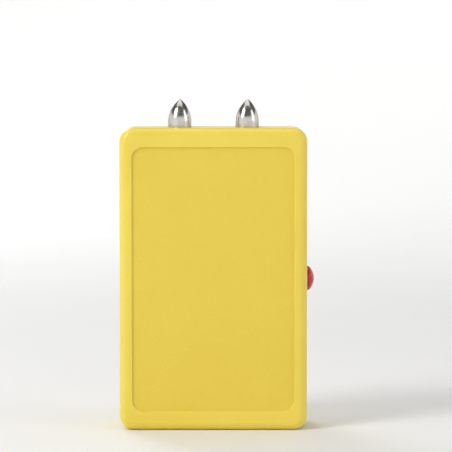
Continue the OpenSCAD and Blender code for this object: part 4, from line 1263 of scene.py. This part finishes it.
def springs():
    tree = coil_tree()
    places = []
    turns = []
    for i, x in enumerate(CELL_X):
        low = nub_up(i)
        places.append((x, CELL_Y, PLATE_FACES[0] + PLATE_GAP if low else PLATE_FACES[1] - PLATE_GAP))
        turns.append((0 if low else math.pi, 0, 0))
    coils(tree, "contact_spring_set", "contact_springs", CONTACT_COIL, places, turns)
    piece = coils(tree, "button_return_spring", "button_spring", BUTTON_COIL,
                  [(BUTTON_COIL_START, 0, BUTTON_Z)], [(0, math.pi / 2, 0)])
    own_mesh(piece)


def lead_tree():
    """A tree that turns a curve into a round insulated lead."""
    tree = Tree("lead_tube", {"Wire radius": "Float"})
    return tree.end(tree.sweep(tree.given["Geometry"]))


def lead(tree, node, side, ends, ways, r, slot):
    """A lead that leaves one end straight, bends once and comes straight into the other."""
    mirror = Vector((side, 1, 1))
    a, b = (Vector(end) * mirror for end in ends)
    out, into = (Vector(way) * mirror for way in ways)
    curve = bpy.data.curves.new(node + "_wire", "CURVE")
    curve.dimensions = "3D"
    line = curve.splines.new("BEZIER")
    line.bezier_points.add(3)
    line.resolution_u = COIL_STEPS // 2
    knots = (a, a + out, b - into, b)
    handles = ((a, a), (a + out, a + out + out.normalized() * LEAD_BEND),
               (b - into - into.normalized() * LEAD_BEND, b - into), (b, b))
    for point, knot, (before, after) in zip(line.bezier_points, knots, handles):
        point.handle_left_type = point.handle_right_type = "FREE"
        point.co = knot * MM
        point.handle_left = before * MM
        point.handle_right = after * MM
    piece = tree.run(put(node + "_wire", curve), slot, {"Wire radius": r * MM})
    dress(piece, "case", slot, node)


def leads():
    tree = lead_tree()
    ends = (HIGH_VOLTAGE_PAD, HIGH_VOLTAGE_CUP)
    ways = ((0, -LEAD_OUT, 0), (0, 0, LEAD_IN))
    lead(tree, "high_voltage_lead_left", -1, ends, ways, HIGH_VOLTAGE_LEAD_R, "red_lead")
    lead(tree, "high_voltage_lead_right", 1, ends, ways, HIGH_VOLTAGE_LEAD_R, "red_lead")
    ends = (BATTERY_TAB, BATTERY_PAD)
    ways = ((-LEAD_OUT, 0, 0), (0, -LEAD_OUT, 0))
    lead(tree, "battery_lead_positive", -1, ends, ways, BATTERY_LEAD_R, "red_lead")
    lead(tree, "battery_lead_negative", 1, ends, ways, BATTERY_LEAD_R, "black_lead")


# Cells

def nub_up(i):
    return i % 2 == 0


def nub_down(a, b, h):
    return (a, b, CELL_L - h)


def cell(i):
    """A plain AA cell: a can in printed film with rolled edges, a bare nub on a washer and a bare base."""
    top = CELL_L - NUB_H
    film, band, bare, washer = range(4)
    # Radius, height, and finish of the strip that begins there
    rows = [
        (0, DISH_H, bare), (DISH_R[0], DISH_H, bare), (DISH_R[1], 0, bare), (BASE_R[0], 0, bare),
        (BASE_R[1], BASE_EDGE, bare), (FILM_R, BASE_EDGE, film), (FILM_R, 0, film), (CELL_R, 0, film),
        (CELL_R, BAND[0], band), (CELL_R, BAND[1], film), (CELL_R, BAND[2], band), (CELL_R, top, band),
        (FILM_R - FILM_LIP, top, band), (FILM_R - FILM_LIP, top - WASHER_SINK, washer),
        (CAP_R[0], top - WASHER_SINK, bare), (CAP_R[1], top - CAP_SINK, bare),
        (NUB_R + NUB_FOOT[0], top - CAP_SINK, bare), (NUB_R, top + NUB_FOOT[1], bare),
        (NUB_R, CELL_L, bare), (0, CELL_L, bare)]
    finishes = []
    for k, (_, _, finish) in enumerate(rows):
        if k in CELL_SOFT:
            finishes += [rows[k - 1][2]] * LIP_STEPS
        finishes.append(finish)
    profile = softened([(r, h) for r, h, _ in rows], CELL_SOFT)
    way = along_z if nub_up(i) else nub_down
    piece = turned(f"cell_{i + 1}_can", profile, way, (CELL_X[i], CELL_Y, CELL_FEET[i]))
    for material in (FINISHES["cell_wrap"], CELL_BAND, CELL_ENDS, CELL_WASHER):
        piece.data.materials.append(material)
    for face in piece.data.polygons:
        face.material_index = finishes[face.index // SPIN_STEPS]
    dress(smooth(piece), "case", "cell_wrap", f"cell_{i + 1}")


# Pieces that keep their CAD shape, with eased edges

def eased(node, body, slot, cut, body_finish=None, bare=None):
    """A copy of a node with its edges eased; bare says which of its faces are tinned metal."""
    piece = node_copy(node, node + "_eased")
    step = piece.modifiers.new("eased", "BEVEL")
    step.width = cut * MM
    step.segments = EASE_STEPS
    step.limit_method = "ANGLE"
    step.angle_limit = math.radians(EASE_ANGLE)
    settle(piece)
    piece.data.materials.append(body_finish or FINISHES[slot])
    if bare:
        piece.data.materials.append(TINNED)
        for face in piece.data.polygons:
            face.material_index = int(bare(face.center / MM))
    dress(smooth(piece), body, slot, node)


def resistor_wire(place):
    return abs(place.x - AXIAL_X) > RESISTOR_HALF


def diode_wire(place):
    return abs(place.x - AXIAL_X) > DIODE_HALF


def transistor_metal(place):
    return place.y > TRANSISTOR_TAB_Y or not TRANSISTOR_Z[0] < place.z < TRANSISTOR_Z[1]


def capacitor_metal(place):
    return not CAN_ENDS[0] < place.x < CAN_ENDS[1]


def inner_pieces():
    special = {
        "resistors": {"bare": resistor_wire},
        "rectifier_diodes": {"bare": diode_wire, "body_finish": DIODE},
        "power_transistor": {"bare": transistor_metal},
        "supply_capacitor": {"bare": capacitor_metal},
    }
    bodies = {node: body for body, nodes in frame["record"]["behaviour"]["bodies"].items() for node in nodes}
    slots = {row["node"]: row["material_slot"] for row in frame["record"]["subparts"]}
    for node, cut in EASED.items():
        eased(node, bodies[node], slots[node], cut, **special.get(node, {}))


# Studio

def stage_bowl():
    """A pale floor that rises to a low wall far off, all round."""
    profile = [(0, 0), (FLOOR_MIDDLE_R, 0), (FLOOR_R, 0)]
    profile += arc((FLOOR_R, FLOOR_BEND_R), FLOOR_BEND_R, -90, 0, EDGE_STEPS * 2)[1:]
    profile.append((FLOOR_R + FLOOR_BEND_R, WALL_H))
    floor = turned("studio_floor", profile, along_z, (0, 0, 0))
    floor.data.flip_normals()
    floor.data.shade_smooth()
    floor.data.materials.append(floor_white())


def soft_light(name, place, size, power, warmth):
    data = bpy.data.lights.new(name, "AREA")
    data.shape = "RECTANGLE"
    data.size, data.size_y = size
    data.energy = power
    data.color = (1.0, 0.5 + 0.5 * warmth, warmth)
    light = put(name, data)
    light.location = place
    aim = Vector(LIGHT_AIM) - Vector(place)
    light.rotation_euler = aim.to_track_quat("-Z", "Y").to_euler()


def studio():
    """A dim room with a wide light overhead, a key light in front and weaker lights on the other sides."""
    stage_bowl()
    world = bpy.data.worlds.new("studio_air")
    world.use_nodes = True
    air = world.node_tree.nodes["Background"].inputs
    air["Color"].default_value = AIR
    air["Strength"].default_value = AIR_GLOW
    bpy.context.scene.world = world
    for light in LIGHTS:
        soft_light(*light)
    bpy.context.scene.view_settings.view_transform = "Standard"


def camera():
    """Straight on, from slightly above, with a long lens; the part stands where the photograph has it."""
    px_per_metre = CASE_PX / (2 * CASE_X * MM)
    tilt = math.radians(CAMERA_TILT)
    low, high = (Vector(corner) for corner in CAD_BOX)
    aim = (low + high) / 2
    aim.x = (FRAME_PX / 2 - MIDDLE_PX[0]) / px_per_metre
    aim.z += (MIDDLE_PX[1] - FRAME_PX / 2) / px_per_metre
    data = bpy.data.cameras.new("camera")
    data.sensor_width = SENSOR
    data.lens = px_per_metre * CAMERA_AWAY * SENSOR / FRAME_PX
    view = put("camera", data)
    view.location = aim + Vector((0, -math.cos(tilt), math.sin(tilt))) * CAMERA_AWAY
    view.rotation_euler = (math.pi / 2 - tilt, 0, 0)
    bpy.context.scene.camera = view


front_shell()
rear_shell()
battery_door()
push_button()
electrode(-1, "electrode_left")
electrode(1, "electrode_right")
all_screws()
springs()
leads()
for number in range(len(CELL_X)):
    cell(number)
transformer_winding()
solder_joints()
inner_pieces()
studio()
camera()
